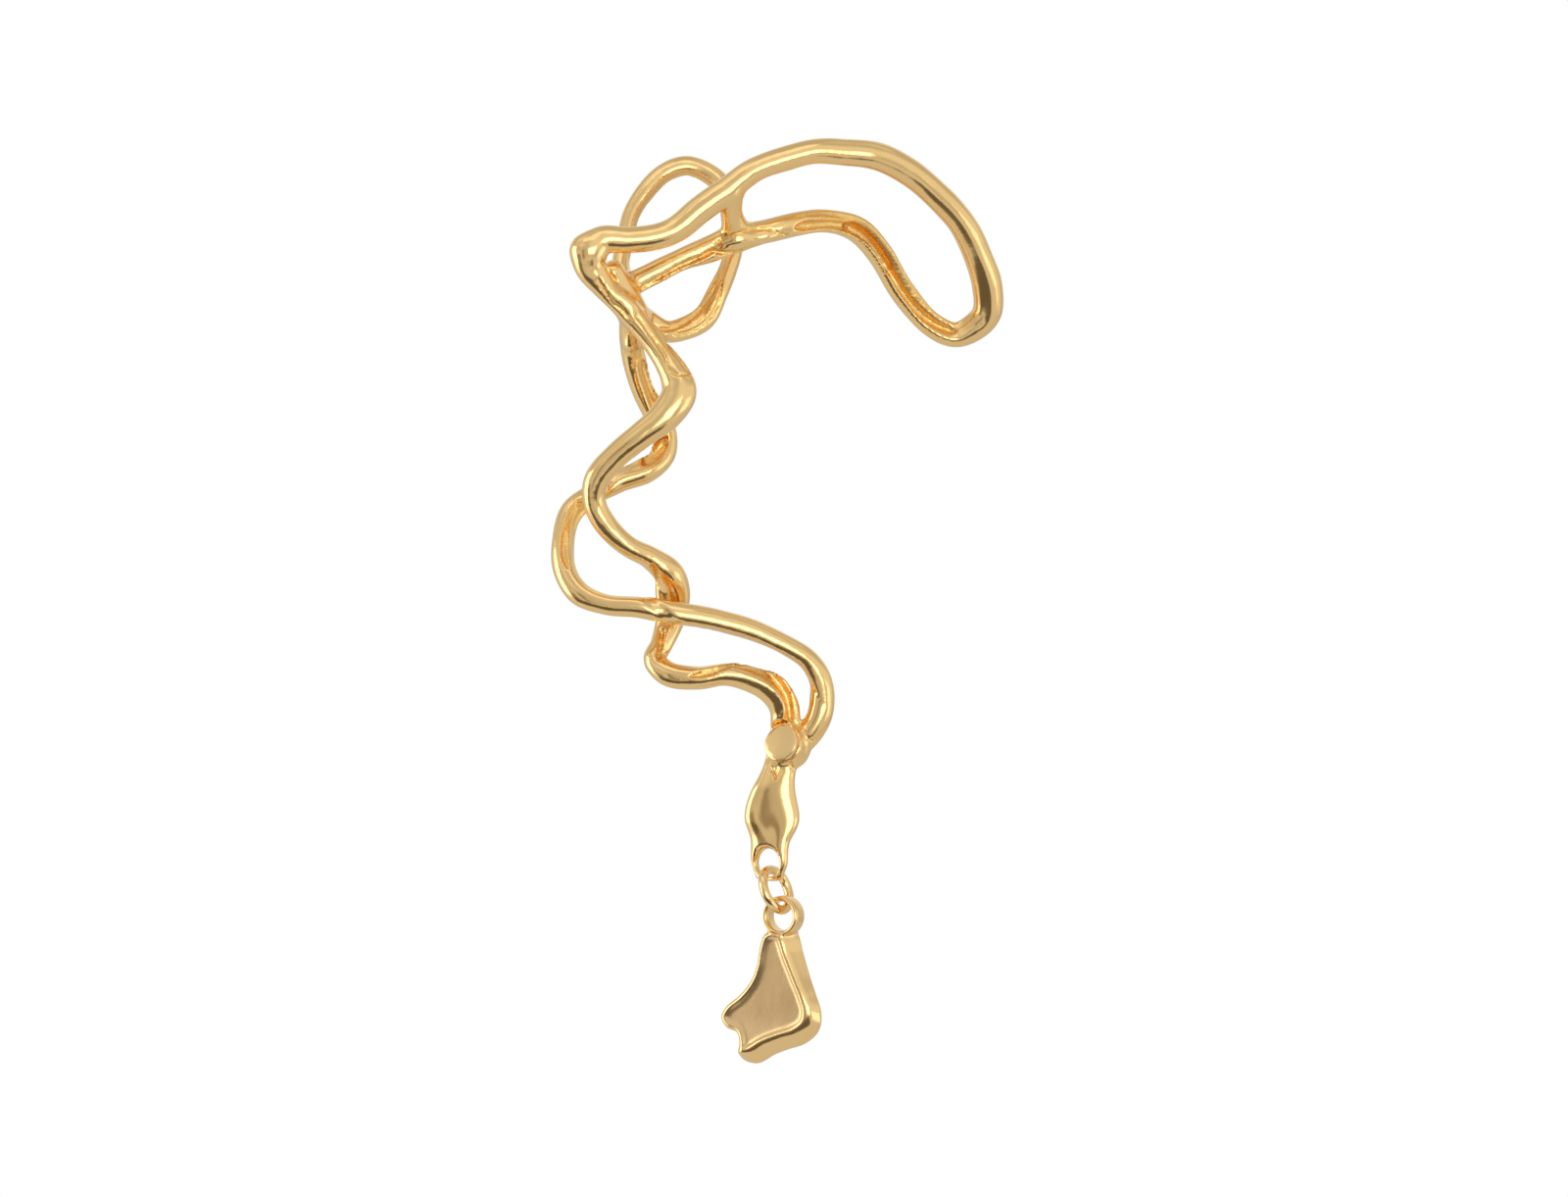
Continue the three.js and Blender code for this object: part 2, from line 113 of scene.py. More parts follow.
def smoothstep(low: float, high: float, value: np.ndarray) -> np.ndarray:
    """Goes smoothly from 0 to 1.

    Args:
        low: Where it leaves 0.
        high: Where it reaches 1.
        value: The values to ease.

    Returns:
        The eased values.
    """
    share = np.clip((value - low) / (high - low), 0.0, 1.0)
    return share * share * (3.0 - 2.0 * share)


def soft_min(a: np.ndarray, b: np.ndarray, blend: float) -> np.ndarray:
    """Joins two fields with a fillet.

    Args:
        a: First field.
        b: Second field.
        blend: Width of the fillet in millimetres.

    Returns:
        The joined field.
    """
    overlap = np.maximum(blend - np.abs(a - b), 0.0) / blend
    return np.minimum(a, b) - overlap * overlap * blend * 0.25


def gentle_noise(points: np.ndarray, wavelength: float, seed: int) -> np.ndarray:
    """Smooth noise from a few crossed waves, the same on every run.

    Args:
        points: Places, one in each row, in millimetres.
        wavelength: Typical distance between crests in millimetres.
        seed: Chooses the waves.

    Returns:
        A value near -1 to 1 for each place.
    """
    chooser = np.random.default_rng(seed)
    waves, shortest, longest = 9, 0.75, 1.4
    total = np.zeros(len(points))
    for _ in range(waves):
        way = chooser.normal(size=3)
        way /= np.linalg.norm(way)
        turn = 2.0 * math.pi / (wavelength * chooser.uniform(shortest, longest))
        total += np.sin(points @ way * turn + chooser.uniform(0.0, 2.0 * math.pi))
    return total / math.sqrt(waves * 2.0)


def circle(count: int) -> np.ndarray:
    """Gives that many even steps round a full turn, in radians."""
    return np.arange(count) / count * 2.0 * math.pi


def dots(a: np.ndarray, b: np.ndarray) -> np.ndarray:
    """Gives the dot product of each row of one table with that row of another."""
    return np.einsum("ij,ij->i", a, b)


def columns_at(places: np.ndarray, known: np.ndarray, table: np.ndarray) -> np.ndarray:
    """Reads each column of a table at places between its known ones."""
    return np.stack([np.interp(places, known, column) for column in table.T], axis=1)


def to_skin(length: np.ndarray, ratio: np.ndarray) -> np.ndarray:
    """Gives about the distance to a skin that is ratio times nearer to the middle than the place is."""
    return length * (1.0 - 1.0 / ratio)


@dataclass(frozen=True)
class CuffSizes:
    """The cast frame's sizes, with its origin and two of its places in percent of them."""

    wide: float = 44.0
    tall: float = 72.0
    deep: float = 14.0
    seat: tuple[float, float, float] = (58.0, 87.0, 50.0)
    lug: tuple[float, float, float] = (52.3, 18.2, 30.0)
    eye: tuple[float, float, float] = (48.2, 2.7, 29.0)

    @staticmethod
    def seen(pixels: Sequence[tuple[float, float]]) -> np.ndarray:
        """Turns the photograph's pixels into millimetres.

        Args:
            pixels: Pairs of pixels to the right and down.

        Returns:
            Places across and up from the origin, one in each row.
        """
        right, down, pixels_per_mm = 830.5, 240.4, 10.52
        table = np.array(pixels, float)
        return np.column_stack([table[:, 0] - right, down - table[:, 1]]) / pixels_per_mm

    def place(self, across: float, up: float, deep: float) -> np.ndarray:
        """Turns percent of the frame into a point.

        Args:
            across: Percent of the width from the left-most point.
            up: Percent of the height from the bottom of the eye.
            deep: Percent of the depth from the foremost strand.

        Returns:
            The point in millimetres from the origin.
        """
        seat_across, seat_up, seat_deep = self.seat
        return np.array([
            (across - seat_across) * PERCENT * self.wide,
            (deep - seat_deep) * PERCENT * self.deep,
            (up - seat_up) * PERCENT * self.tall,
        ])


@dataclass(frozen=True)
class ChasedMark:
    """The section of a channel or a bead worked into the casting's front.

    Attributes:
        half: Half of its width in millimetres.
        depth: How far it goes in or stands out.
        tone: How much of the recess mask its floor gets, which brings rough grain and the painted shade
            colour.
        sunk: Whether it is a channel.
    """

    half: float
    depth: float
    tone: float = 1.0
    sunk: bool = True


def facing(yaw: float, tilt: float = 0.0) -> np.ndarray:
    """Finds where a face turned from the viewer looks.

    Args:
        yaw: Degrees to the left.
        tilt: Degrees upward.

    Returns:
        The direction as a unit vector.
    """
    side, lift = math.radians(yaw), math.radians(tilt)
    level = math.cos(lift)
    return np.array([-math.sin(side) * level, -math.cos(side) * level, math.sin(lift)])


def spline(points: np.ndarray, closed: bool, per_span: int) -> tuple[np.ndarray, np.ndarray]:
    """Runs a centripetal Catmull-Rom curve through points.

    Args:
        points: The points, one in each row.
        closed: Whether the curve returns to its start.
        per_span: Steps between two points.

    Returns:
        The curve's points and the row position of each, such as 2.5 halfway from row 2 to row 3.
    """
    count = len(points)
    if closed:
        padded = np.vstack([points[-1], points, points[0], points[1]])
        spans = count
    else:
        padded = np.vstack([2 * points[0] - points[1], points, 2 * points[-1] - points[-2]])
        spans = count - 1
    made, places = [], []
    steps = np.arange(per_span) / per_span
    for span in range(spans):
        p0, p1, p2, p3 = padded[span:span + 4]
        t1, t2, t3 = np.cumsum([
            max(np.linalg.norm(ahead - here), LEAST) ** 0.5
            for here, ahead in ((p0, p1), (p1, p2), (p2, p3))
        ])
        t = (t1 + (t2 - t1) * steps)[:, None]
        a1 = (t1 - t) / t1 * p0 + t / t1 * p1
        a2 = (t2 - t) / (t2 - t1) * p1 + (t - t1) / (t2 - t1) * p2
        a3 = (t3 - t) / (t3 - t2) * p2 + (t - t2) / (t3 - t2) * p3
        b1 = (t2 - t) / t2 * a1 + t / t2 * a2
        b2 = (t3 - t) / (t3 - t1) * a2 + (t - t1) / (t3 - t1) * a3
        made.append((t2 - t) / (t2 - t1) * b1 + (t - t1) / (t2 - t1) * b2)
        places.append(span + steps)
    if not closed:
        made.append(points[-1:])
        places.append(np.array([float(spans)]))
    return np.vstack(made), np.concatenate(places)


def softened(values: np.ndarray, width: int) -> np.ndarray:
    """Evens out a run of values.

    Args:
        values: The values along a line, one in each row.
        width: How many neighbours on each side count.

    Returns:
        The evened values, as many as before.
    """
    if width < 1:
        return values
    reach = np.arange(-2 * width, 2 * width + 1)
    weights = np.exp(-0.5 * (reach / width) ** 2)
    weights /= weights.sum()
    flat = values.reshape(len(values), -1)
    padded = np.pad(flat, ((2 * width, 2 * width), (0, 0)), mode="edge")
    made = [np.convolve(column, weights, mode="valid") for column in padded.T]
    return np.stack(made, axis=1).reshape(values.shape)


@dataclass
class StrandLine:
    """A strand's centre-line with its section at fine steps.

    Attributes:
        step: Distance between two steps.
        centre: Points of the centre-line.
        along: Directions of travel.
        half: Half sizes across the view and in depth.
        groove: Depth share of the groove.
        faces: Direction of the groove in radians from the viewer, positive to the right of travel.
    """

    step: float
    centre: np.ndarray
    along: np.ndarray
    half: np.ndarray
    groove: np.ndarray
    faces: np.ndarray

    @classmethod
    def from_rows(cls, rows: Sequence[Row], sizes: CuffSizes, radius: float) -> StrandLine:
        """Works a strand out from its table.

        Args:
            rows: across, up, deep, thick, flat, dent and faces of each section.
            sizes: The frame's sizes.
            radius: Radius that thick and flat are percent of.

        Returns:
            The strand's line.
        """
        per_span, step, centre_evening, section_evening = 60, 0.02, 10, 30
        table = np.array(rows, float)
        knots = np.array([sizes.place(*row[:3]) for row in table])
        curve, position = spline(knots, False, per_span)
        run = np.concatenate([[0.0], np.cumsum(np.linalg.norm(np.diff(curve, axis=0), axis=1))])
        even = np.arange(0.0, run[-1], step)
        centre = softened(columns_at(even, run, curve), centre_evening)
        along = np.gradient(centre, axis=0)
        along /= np.linalg.norm(along, axis=1, keepdims=True)
        where = np.interp(even, run, position)
        columns = softened(columns_at(where, np.arange(len(table)), table[:, 3:]), section_evening)
        half, groove = columns[:, :2] * PERCENT * radius, columns[:, 2] * PERCENT
        return cls(step, centre, along, half, groove, np.radians(columns[:, 3]))

    def sample(self, run: np.ndarray, values: np.ndarray) -> np.ndarray:
        """Reads values at distances along the strand.

        Args:
            run: Distances from the strand's start.
            values: One row for each step.

        Returns:
            The values at those distances.
        """
        place = np.clip(run / self.step, 0.0, len(values) - LAST_STEP)
        low = place.astype(int)
        share = (place - low).reshape(-1, *([1] * (values.ndim - 1)))
        return values[low] * (1.0 - share) + values[low + 1] * share


@dataclass
class Field:
    """A block of cells whose corners hold the distance to a solid's skin, negative inside it.

    Attributes:
        low: The block's lowest corner.
        high: The block's highest corner.
        cell: Width of a cell.
        distance: Each corner's distance to the skin.
        recess: How much of the recess mask each corner has: rough grain and painted shade colour.
    """

    low: np.ndarray
    high: np.ndarray
    cell: float
    distance: np.ndarray = field(init=False)
    recess: np.ndarray = field(init=False)

    def __post_init__(self) -> None:
        """Makes an empty block."""
        count = np.ceil((self.high - self.low) / self.cell).astype(int) + 1
        self.distance = np.full(count, FAR, np.float32)
        self.recess = np.zeros(count, np.float32)

    def window(self, low: np.ndarray, high: np.ndarray) -> tuple[slice, slice, slice]:
        """Finds the corners inside a box.

        Args:
            low: The box's lowest corner.
            high: The box's highest corner.

        Returns:
            A slice of corners along each axis.
        """
        first = np.clip(np.floor((low - self.low) / self.cell).astype(int), 0, None)
        last = np.minimum(np.ceil((high - self.low) / self.cell).astype(int) + 1, self.distance.shape)
        return tuple(slice(int(a), int(max(a, b))) for a, b in zip(first, last))

    def axes(self, window: tuple[slice, slice, slice]) -> list[np.ndarray]:
        """Gives the places of a window's corners along each axis."""
        return [low + self.cell * np.arange(part.start, part.stop) for low, part in zip(self.low, window)]

    def corners(self, window: tuple[slice, slice, slice]) -> np.ndarray:
        """Gives the places of the corners in a window, as an array with x, y and z last."""
        return np.stack(np.meshgrid(*self.axes(window), indexing="ij"), axis=-1)

    def join(self, window: tuple[slice, slice, slice], other: np.ndarray, blend: float) -> None:
        """Adds a solid to a window, with a fillet of that blend."""
        self.distance[window] = soft_min(self.distance[window], other, blend)

    def cut(self, window: tuple[slice, slice, slice], tool: np.ndarray, blend: float) -> None:
        """Takes a tool's field out of a window, with a rounded edge of that blend."""
        self.distance[window] = -soft_min(-self.distance[window], tool, blend)

    def sweep(self, line: StrandLine, blend: float, groove_half: float) -> None:
        """Adds a strand with its groove.

        Args:
            line: The strand.
            blend: Fillet to what is already there.
            groove_half: Half of the groove's width as an angle in radians.
        """
        floor_share, lip_share = 0.6, 1.25
        shallow, deep = 0.15, 0.5
        cells, points, run = self._beside(line)
        along = line.sample(run, line.along)
        along /= np.linalg.norm(along, axis=1, keepdims=True)
        gap = points - line.sample(run, line.centre)
        toward = -BACK - along * -along[:, 1:2]
        toward /= np.linalg.norm(toward, axis=1, keepdims=True)
        u, v, w = (dots(gap, way) for way in (np.cross(along, toward), toward, along))
        half = line.sample(run, line.half)
        dent = line.sample(run, line.groove)
        turn = np.arctan2(u, v) - line.sample(run, line.faces)
        turn = np.abs(np.arctan2(np.sin(turn), np.cos(turn)))
        floor = 1.0 - smoothstep(groove_half * floor_share, groove_half * lip_share, turn)
        shrink = 1.0 - dent * floor
        across, depth = half[:, 0] * shrink, half[:, 1] * shrink
        length = np.sqrt(u * u + v * v + w * w) + TINY
        ratio = np.sqrt((u / across) ** 2 + (v / depth) ** 2 + (w / across) ** 2) + TINY
        distance = to_skin(length, ratio).astype(np.float32)
        old = self.distance[cells]
        mix = smoothstep(-blend, blend, old - distance)
        # The groove's floor joins the recess mask, so it gets rough grain and painted shade.
        marked = floor * smoothstep(shallow, deep, dent)
        self.recess[cells] = self.recess[cells] * (1.0 - mix) + marked * mix
        self.distance[cells] = soft_min(old, distance, blend)

    def _beside(self, line: StrandLine) -> tuple[tuple[np.ndarray, ...], np.ndarray, np.ndarray]:
        """Finds the corners near a strand.

        Args:
            line: The strand.

        Returns:
            The corners' numbers, their places and how far along the strand each one is.
        """
        margin, stride, rounds, pace = 1.0, 12, 6, 0.85
        reach = float(line.half.max()) + margin
        nearest = np.full(self.distance.shape, FAR * FAR, np.float32)
        owner = np.zeros(self.distance.shape, np.int32)
        for index in range(0, len(line.centre), stride):
            centre = line.centre[index]
            window = self.window(centre - reach, centre + reach)
            x, y, z = ((axis - middle) ** 2 for axis, middle in zip(self.axes(window), centre))
            away = (x[:, None, None] + y[None, :, None] + z[None, None, :]).astype(np.float32)
            closer = away < nearest[window]
            nearest[window] = np.where(closer, away, nearest[window])
            owner[window] = np.where(closer, index, owner[window])
        cells = np.nonzero(nearest < reach * reach)
        points = self.low + self.cell * np.stack(cells, axis=1)
        run = owner[cells] * line.step
        for _ in range(rounds):
            gap = points - line.sample(run, line.centre)
            run = run + dots(gap, line.sample(run, line.along)) * pace
            run = np.clip(run, 0.0, line.step * (len(line.centre) - 2))
        return cells, points, run

    def front(self, across: np.ndarray, up: np.ndarray) -> np.ndarray:
        """Finds the skin that the viewer sees first.

        Args:
            across: Places across in millimetres.
            up: Places up in millimetres.

        Returns:
            The skin's depth at each place, or NaN where nothing is there.
        """
        i = np.clip(np.rint((across - self.low[0]) / self.cell).astype(int), 0, self.distance.shape[0] - 1)
        k = np.clip(np.rint((up - self.low[2]) / self.cell).astype(int), 0, self.distance.shape[2] - 1)
        columns = self.distance[i, :, k]
        first = np.argmax(columns < 0.0, axis=1)
        rows = np.arange(len(columns))
        behind, before = columns[rows, first], columns[rows, np.maximum(first - 1, 0)]
        share = before / np.where(before > behind, before - behind, 1.0)
        depth = self.low[1] + self.cell * (first - 1 + share)
        return np.where(first > 0, depth, np.nan)

    def chase(self, mark: ChasedMark, route: np.ndarray) -> None:
        """Works a channel or a bead along a route that the viewer sees.

        Args:
            mark: Its section.
            route: The route's places across and up in millimetres.
        """
        per_span, fewest, evening = 24, 3, 8
        taper_steps, blunt_end, spare = 14.0, 0.12, 0.8
        tone_from, tone_full = 0.12, -0.06
        channel_edge, bead_fillet = 0.14, 0.5
        curve, _ = spline(np.insert(route, 1, 0.0, axis=1), False, per_span)
        depth = self.front(curve[:, 0], curve[:, 2])
        found = np.isfinite(depth)
        if found.sum() < fewest:
            LOG.warning("a chased mark found no metal at %s", route[0])
            return
        steps = np.arange(len(curve))
        curve[:, 1] = softened(np.interp(steps, steps[found], depth[found]), evening)
        curve[:, 1] += (mark.depth - mark.half) if mark.sunk else (mark.half - mark.depth)
        taper = np.minimum(steps, steps[::-1]) / taper_steps
        half = mark.half * np.sqrt(np.clip(taper + blunt_end, 0.0, 1.0))
        margin = mark.half + spare
        window = self.window(curve.min(axis=0) - margin, curve.max(axis=0) + margin)
        corners = self.corners(window)
        tool = np.full(corners.shape[:3], FAR, np.float32)
        for centre, radius in zip(curve[::2], half[::2]):
            near = tuple(
                slice(max(a - part.start, 0), max(b - part.start, 0))
                for part, a, b in zip(window, *self._around(centre, margin))
            )
            away = np.linalg.norm(corners[near] - centre, axis=-1) - radius
            tool[near] = np.minimum(tool[near], away)
        if mark.sunk:
            # A channel's floor joins the recess mask, so it gets rough grain and painted shade.
            shown = smoothstep(tone_from, tone_full, tool)
            self.recess[window] = np.maximum(self.recess[window], shown * mark.tone)
            self.cut(window, tool, channel_edge)
        else:
            self.join(window, tool, bead_fillet)

    def _around(self, centre: np.ndarray, reach: float) -> tuple[np.ndarray, np.ndarray]:
        """Gives the first and last corner numbers of a cube round a place."""
        first = np.floor((centre - reach - self.low) / self.cell).astype(int)
        return first, first + int(math.ceil(2.0 * reach / self.cell)) + 1

    def read(self, grid: np.ndarray, points: np.ndarray) -> np.ndarray:
        """Reads one of the block's grids between its corners.

        Args:
            grid: The distance or the recess grid.
            points: Places, one in each row.

        Returns:
            The value at each place.
        """
        place = np.clip((points - self.low) / self.cell, 0.0, np.array(grid.shape) - LAST_STEP)
        base = place.astype(int)
        share = place - base
        total = np.zeros(len(points))
        for corner in range(8):
            bit = np.array([corner >> 2 & 1, corner >> 1 & 1, corner & 1])
            weight = np.prod(np.where(bit, share, 1.0 - share), axis=1)
            at = base + bit
            total += weight * grid[at[:, 0], at[:, 1], at[:, 2]]
        return total

    def slope(self, points: np.ndarray) -> np.ndarray:
        """Gives the distance grid's slope at places, one in each row.

        Args:
            points: Places, one in each row.

        Returns:
            The slope along x, y and z at each place.
        """
        cells_ahead = 0.6
        reach = self.cell * cells_ahead
        rise = [
            self.read(self.distance, points + offset) - self.read(self.distance, points - offset)
            for offset in np.eye(3) * reach
        ]
        return np.stack(rise, axis=1) / (2.0 * reach)

    def skin(self) -> tuple[np.ndarray, np.ndarray]:
        """Meshes the skin, with one point in each cell that it passes through.

        Returns:
            The points and the four-cornered faces, facing out.
        """
        inside = self.distance < 0.0
        count = np.zeros(np.array(inside.shape) - 1, np.uint8)
        for x, y, z in np.ndindex(2, 2, 2):
            count += inside[x:x + count.shape[0], y:y + count.shape[1], z:z + count.shape[2]]
        cells = np.stack(np.nonzero((count > 0) & (count < 8)), axis=1)
        number = np.full(count.shape, -1, np.int32)
        number[cells[:, 0], cells[:, 1], cells[:, 2]] = np.arange(len(cells))
        total = np.zeros((len(cells), 3))
        crossings = np.zeros(len(cells))
        for axis in range(3):
            for other in range(4):
                start = np.zeros(3, int)
                start[(axis + 1) % 3], start[(axis + 2) % 3] = other >> 1 & 1, other & 1
                end = start.copy()
                end[axis] = 1
                a = self.distance[tuple((cells + start).T)]
                b = self.distance[tuple((cells + end).T)]
                crossed = (a < 0.0) != (b < 0.0)
                share = np.where(crossed, a / np.where(crossed, a - b, 1.0), 0.0)
                place = start + (end - start) * share[:, None]
                total += np.where(crossed[:, None], place, 0.0)
                crossings += crossed
        points = self.low + self.cell * (cells + total / crossings[:, None])
        faces = []
        for axis in range(3):
            one, two = (axis + 1) % 3, (axis + 2) % 3
            near = [slice(None)] * 3
            far = [slice(None)] * 3
            near[axis], far[axis] = slice(0, -1), slice(1, None)
            near_in, far_in = inside[tuple(near)], inside[tuple(far)]
            for leaving in (True, False):
                edges = np.stack(np.nonzero(near_in & ~far_in if leaving else ~near_in & far_in), axis=1)
                edges = edges[(edges[:, one] > 0) & (edges[:, two] > 0)]
                ring = []
                for step_one, step_two in ((1, 1), (0, 1), (0, 0), (1, 0)):
                    cell = edges.copy()
                    cell[:, one] -= step_one
                    cell[:, two] -= step_two
                    ring.append(number[cell[:, 0], cell[:, 1], cell[:, 2]])
                quad = np.stack(ring if leaving else ring[::-1], axis=1)
                faces.append(quad)
        return points, np.vstack(faces)

    def fine_skin(self, evening: int) -> tuple[np.ndarray, np.ndarray]:
        """Meshes the skin, evens it out and sets each point on the true skin.

        Args:
            evening: Rounds of evening.

        Returns:
            The points and the faces.
        """
        inward, outward, free_rounds, least_slope = 0.5, -0.52, 2, 1e-3
        points, faces = self.skin()
        pairs = np.vstack([faces[:, [i, (i + 1) % 4]] for i in range(4)])
        for round_number in range(evening):
            total = np.zeros_like(points)
            count = np.zeros(len(points))
            np.add.at(total, pairs[:, 0], points[pairs[:, 1]])
            np.add.at(count, pairs[:, 0], 1.0)
            strength = inward if round_number % 2 == 0 else outward
            points = points + (total / count[:, None] - points) * strength
            if round_number < evening - free_rounds:
                way = self.slope(points)
                scale = np.maximum((way ** 2).sum(axis=1, keepdims=True), least_slope)
                points = points - way * self.read(self.distance, points)[:, None] / scale
        return points, faces


class Bench:
    """Adds nodes to one shader tree and joins them."""

    def __init__(self, tree: bpy.types.NodeTree) -> None:
        """Starts on a tree.

        Args:
            tree: The tree to add nodes to.
        """
        self.tree = tree

    @classmethod
    def cleared(cls, owner: bpy.types.Material | bpy.types.World) -> Bench:
        """Empties the shader tree of a material or a world and starts on it.

        Args:
            owner: The material or the world.

        Returns:
            The bench.
        """
        owner.use_nodes = True
        owner.node_tree.nodes.clear()
        return cls(owner.node_tree)

    def add(self, kind: str, settings: dict[str, Any] | None = None, **inputs: Any) -> bpy.types.Node:
        """Adds a node.

        Args:
            kind: The node's type name.
            settings: Its own properties.
            **inputs: Values or output sockets for its inputs, named with _ for a space.

        Returns:
            The node.
        """
        node = self.tree.nodes.new(kind)
        for name, value in (settings or {}).items():
            setattr(node, name, value)
        for name, value in inputs.items():
            self.feed(node.inputs[name.replace("_", " ")], value)
        return node

    def feed(self, socket: bpy.types.NodeSocket, value: Any) -> None:
        """Sets a socket to a value, or links an output to it.

        Args:
            socket: The input socket.
            value: A value or an output socket.
        """
        if isinstance(value, bpy.types.NodeSocket):
            self.tree.links.new(value, socket)
        else:
            socket.default_value = value

    def math(self, operation: str, first: Any, second: Any = 0.0) -> bpy.types.NodeSocket:
        """Adds a sum of two values and gives its output.

        Args:
            operation: The node's name for the sum.
            first: A value or an output socket.
            second: Another.

        Returns:
            The node's output.
        """
        node = self.add("ShaderNodeMath", {"operation": operation})
        self.feed(node.inputs[0], first)
        self.feed(node.inputs[1], second)
        return node.outputs[0]

    def blend(self, share: Any, low: Any, high: Any) -> bpy.types.NodeSocket:
        """Adds a mix of two colours and gives its output.

        Args:
            share: How much of the second colour there is.
            low: The first colour.
            high: The second colour.

        Returns:
            The node's output.
        """
        node = self.add("ShaderNodeMix", {"data_type": "RGBA"})
        self.feed(node.inputs[0], share)
        self.feed(node.inputs[6], low)
        self.feed(node.inputs[7], high)
        return node.outputs[2]


class SharedEffects:
    """The shader groups that several finishes use, each built once."""

    def __init__(self) -> None:
        """Builds the groups."""
        self.hand_polish = self._hand_polish()
        self.recess_tone = self._recess_shade_and_roughness()

    @staticmethod
    def _group(name: str, inputs: dict[str, tuple[str, Any]], outputs: dict[str, str]) -> GroupParts:
        """Makes an empty group.

        Args:
            name: The group's name.
            inputs: Each input's socket type and starting value.
            outputs: Each output's socket type.

        Returns:
            The group with its input node and its output node.
        """
        tree = bpy.data.node_groups.new(name, "ShaderNodeTree")
        for label, (kind, value) in inputs.items():
            socket = tree.interface.new_socket(name=label, in_out="INPUT", socket_type=kind)
            socket.default_value = value
        for label, kind in outputs.items():
            tree.interface.new_socket(name=label, in_out="OUTPUT", socket_type=kind)
        return tree, tree.nodes.new("NodeGroupInput"), tree.nodes.new("NodeGroupOutput")

    def _hand_polish(self) -> bpy.types.NodeTree:
        """Builds the marks of hand polishing: a slow ripple, fine hairlines and a smudge mask.

        Returns:
            The group.
        """
        number = "NodeSocketFloat"
        tree, given, made = self._group(
            "hand_polish",
            {
                "Ripple Scale": (number, 400.0), "Ripple Depth": (number, 0.1),
                "Hairline Depth": (number, 0.02), "Rough": (number, 0.0), "Rough Depth": (number, 0.2),
            },
            {"Normal": "NodeSocketVector", "Smudge": number},
        )
        bench = Bench(tree)
        place = bench.add("ShaderNodeTexCoord").outputs["Object"]
        ripple = bench.add(
            "ShaderNodeTexNoise", Vector=place, Scale=given.outputs["Ripple Scale"], Detail=2.0,
            Roughness=0.45,
        )
        slow = bench.add(
            "ShaderNodeBump", Strength=given.outputs["Ripple Depth"], Distance=0.0003,
            Height=ripple.outputs["Fac"],
        )
        stretched = bench.add("ShaderNodeMapping", Vector=place, Scale=(1.0, 1.0, 0.18))
        hairline = bench.add(
            "ShaderNodeTexNoise", Vector=stretched.outputs["Vector"], Scale=9000.0, Detail=1.0,
        )
        fine = bench.add(
            "ShaderNodeBump", Strength=given.outputs["Hairline Depth"], Distance=0.00002,
            Height=hairline.outputs["Fac"], Normal=slow.outputs["Normal"],
        )
        pits = bench.add("ShaderNodeTexNoise", Vector=place, Scale=2600.0, Detail=4.0, Roughness=0.65)
        depth = bench.math("MULTIPLY", given.outputs["Rough"], given.outputs["Rough Depth"])
        rough = bench.add(
            "ShaderNodeBump", Strength=depth, Distance=0.00012, Height=pits.outputs["Fac"],
            Normal=fine.outputs["Normal"],
        )
        smudge = bench.add("ShaderNodeTexNoise", Vector=place, Scale=260.0, Detail=3.0, Roughness=0.6)
        bench.feed(made.inputs["Normal"], rough.outputs["Normal"])
        bench.feed(made.inputs["Smudge"], smudge.outputs["Fac"])
        return tree

    def _recess_shade_and_roughness(self) -> bpy.types.NodeTree:
        """Builds the turn from polished metal to the recesses: rougher as the unpolished cast skin, and
        darker, deeper amber as painted shade.

        Returns:
            The group.
        """
        number, colour = "NodeSocketFloat", "NodeSocketColor"
        white = (1.0, 1.0, 1.0, 1.0)
        tree, given, made = self._group(
            "recess_tone",
            {
                "Polished": (colour, white), "Deep": (colour, white), "Recess": (number, 0.0),
                "Smudge": (number, 0.5), "Polish Rough": (number, 0.15), "Deep Rough": (number, 0.4),
                "Smudge Rough": (number, 0.05),
            },
            {"Colour": colour, "Roughness": number},
        )
        bench = Bench(tree)
        # Painted shade: the recess mask blends the metal towards the darker, deeper amber colour.
        tone = bench.blend(given.outputs["Recess"], given.outputs["Polished"], given.outputs["Deep"])
        spread = bench.math("SUBTRACT", given.outputs["Deep Rough"], given.outputs["Polish Rough"])
        deep = bench.math("MULTIPLY", spread, given.outputs["Recess"])
        base = bench.math("ADD", given.outputs["Polish Rough"], deep)
        marks = bench.math("MULTIPLY", given.outputs["Smudge"], given.outputs["Smudge Rough"])
        bench.feed(made.inputs["Colour"], tone)
        bench.feed(made.inputs["Roughness"], bench.math("ADD", base, marks))
        return tree


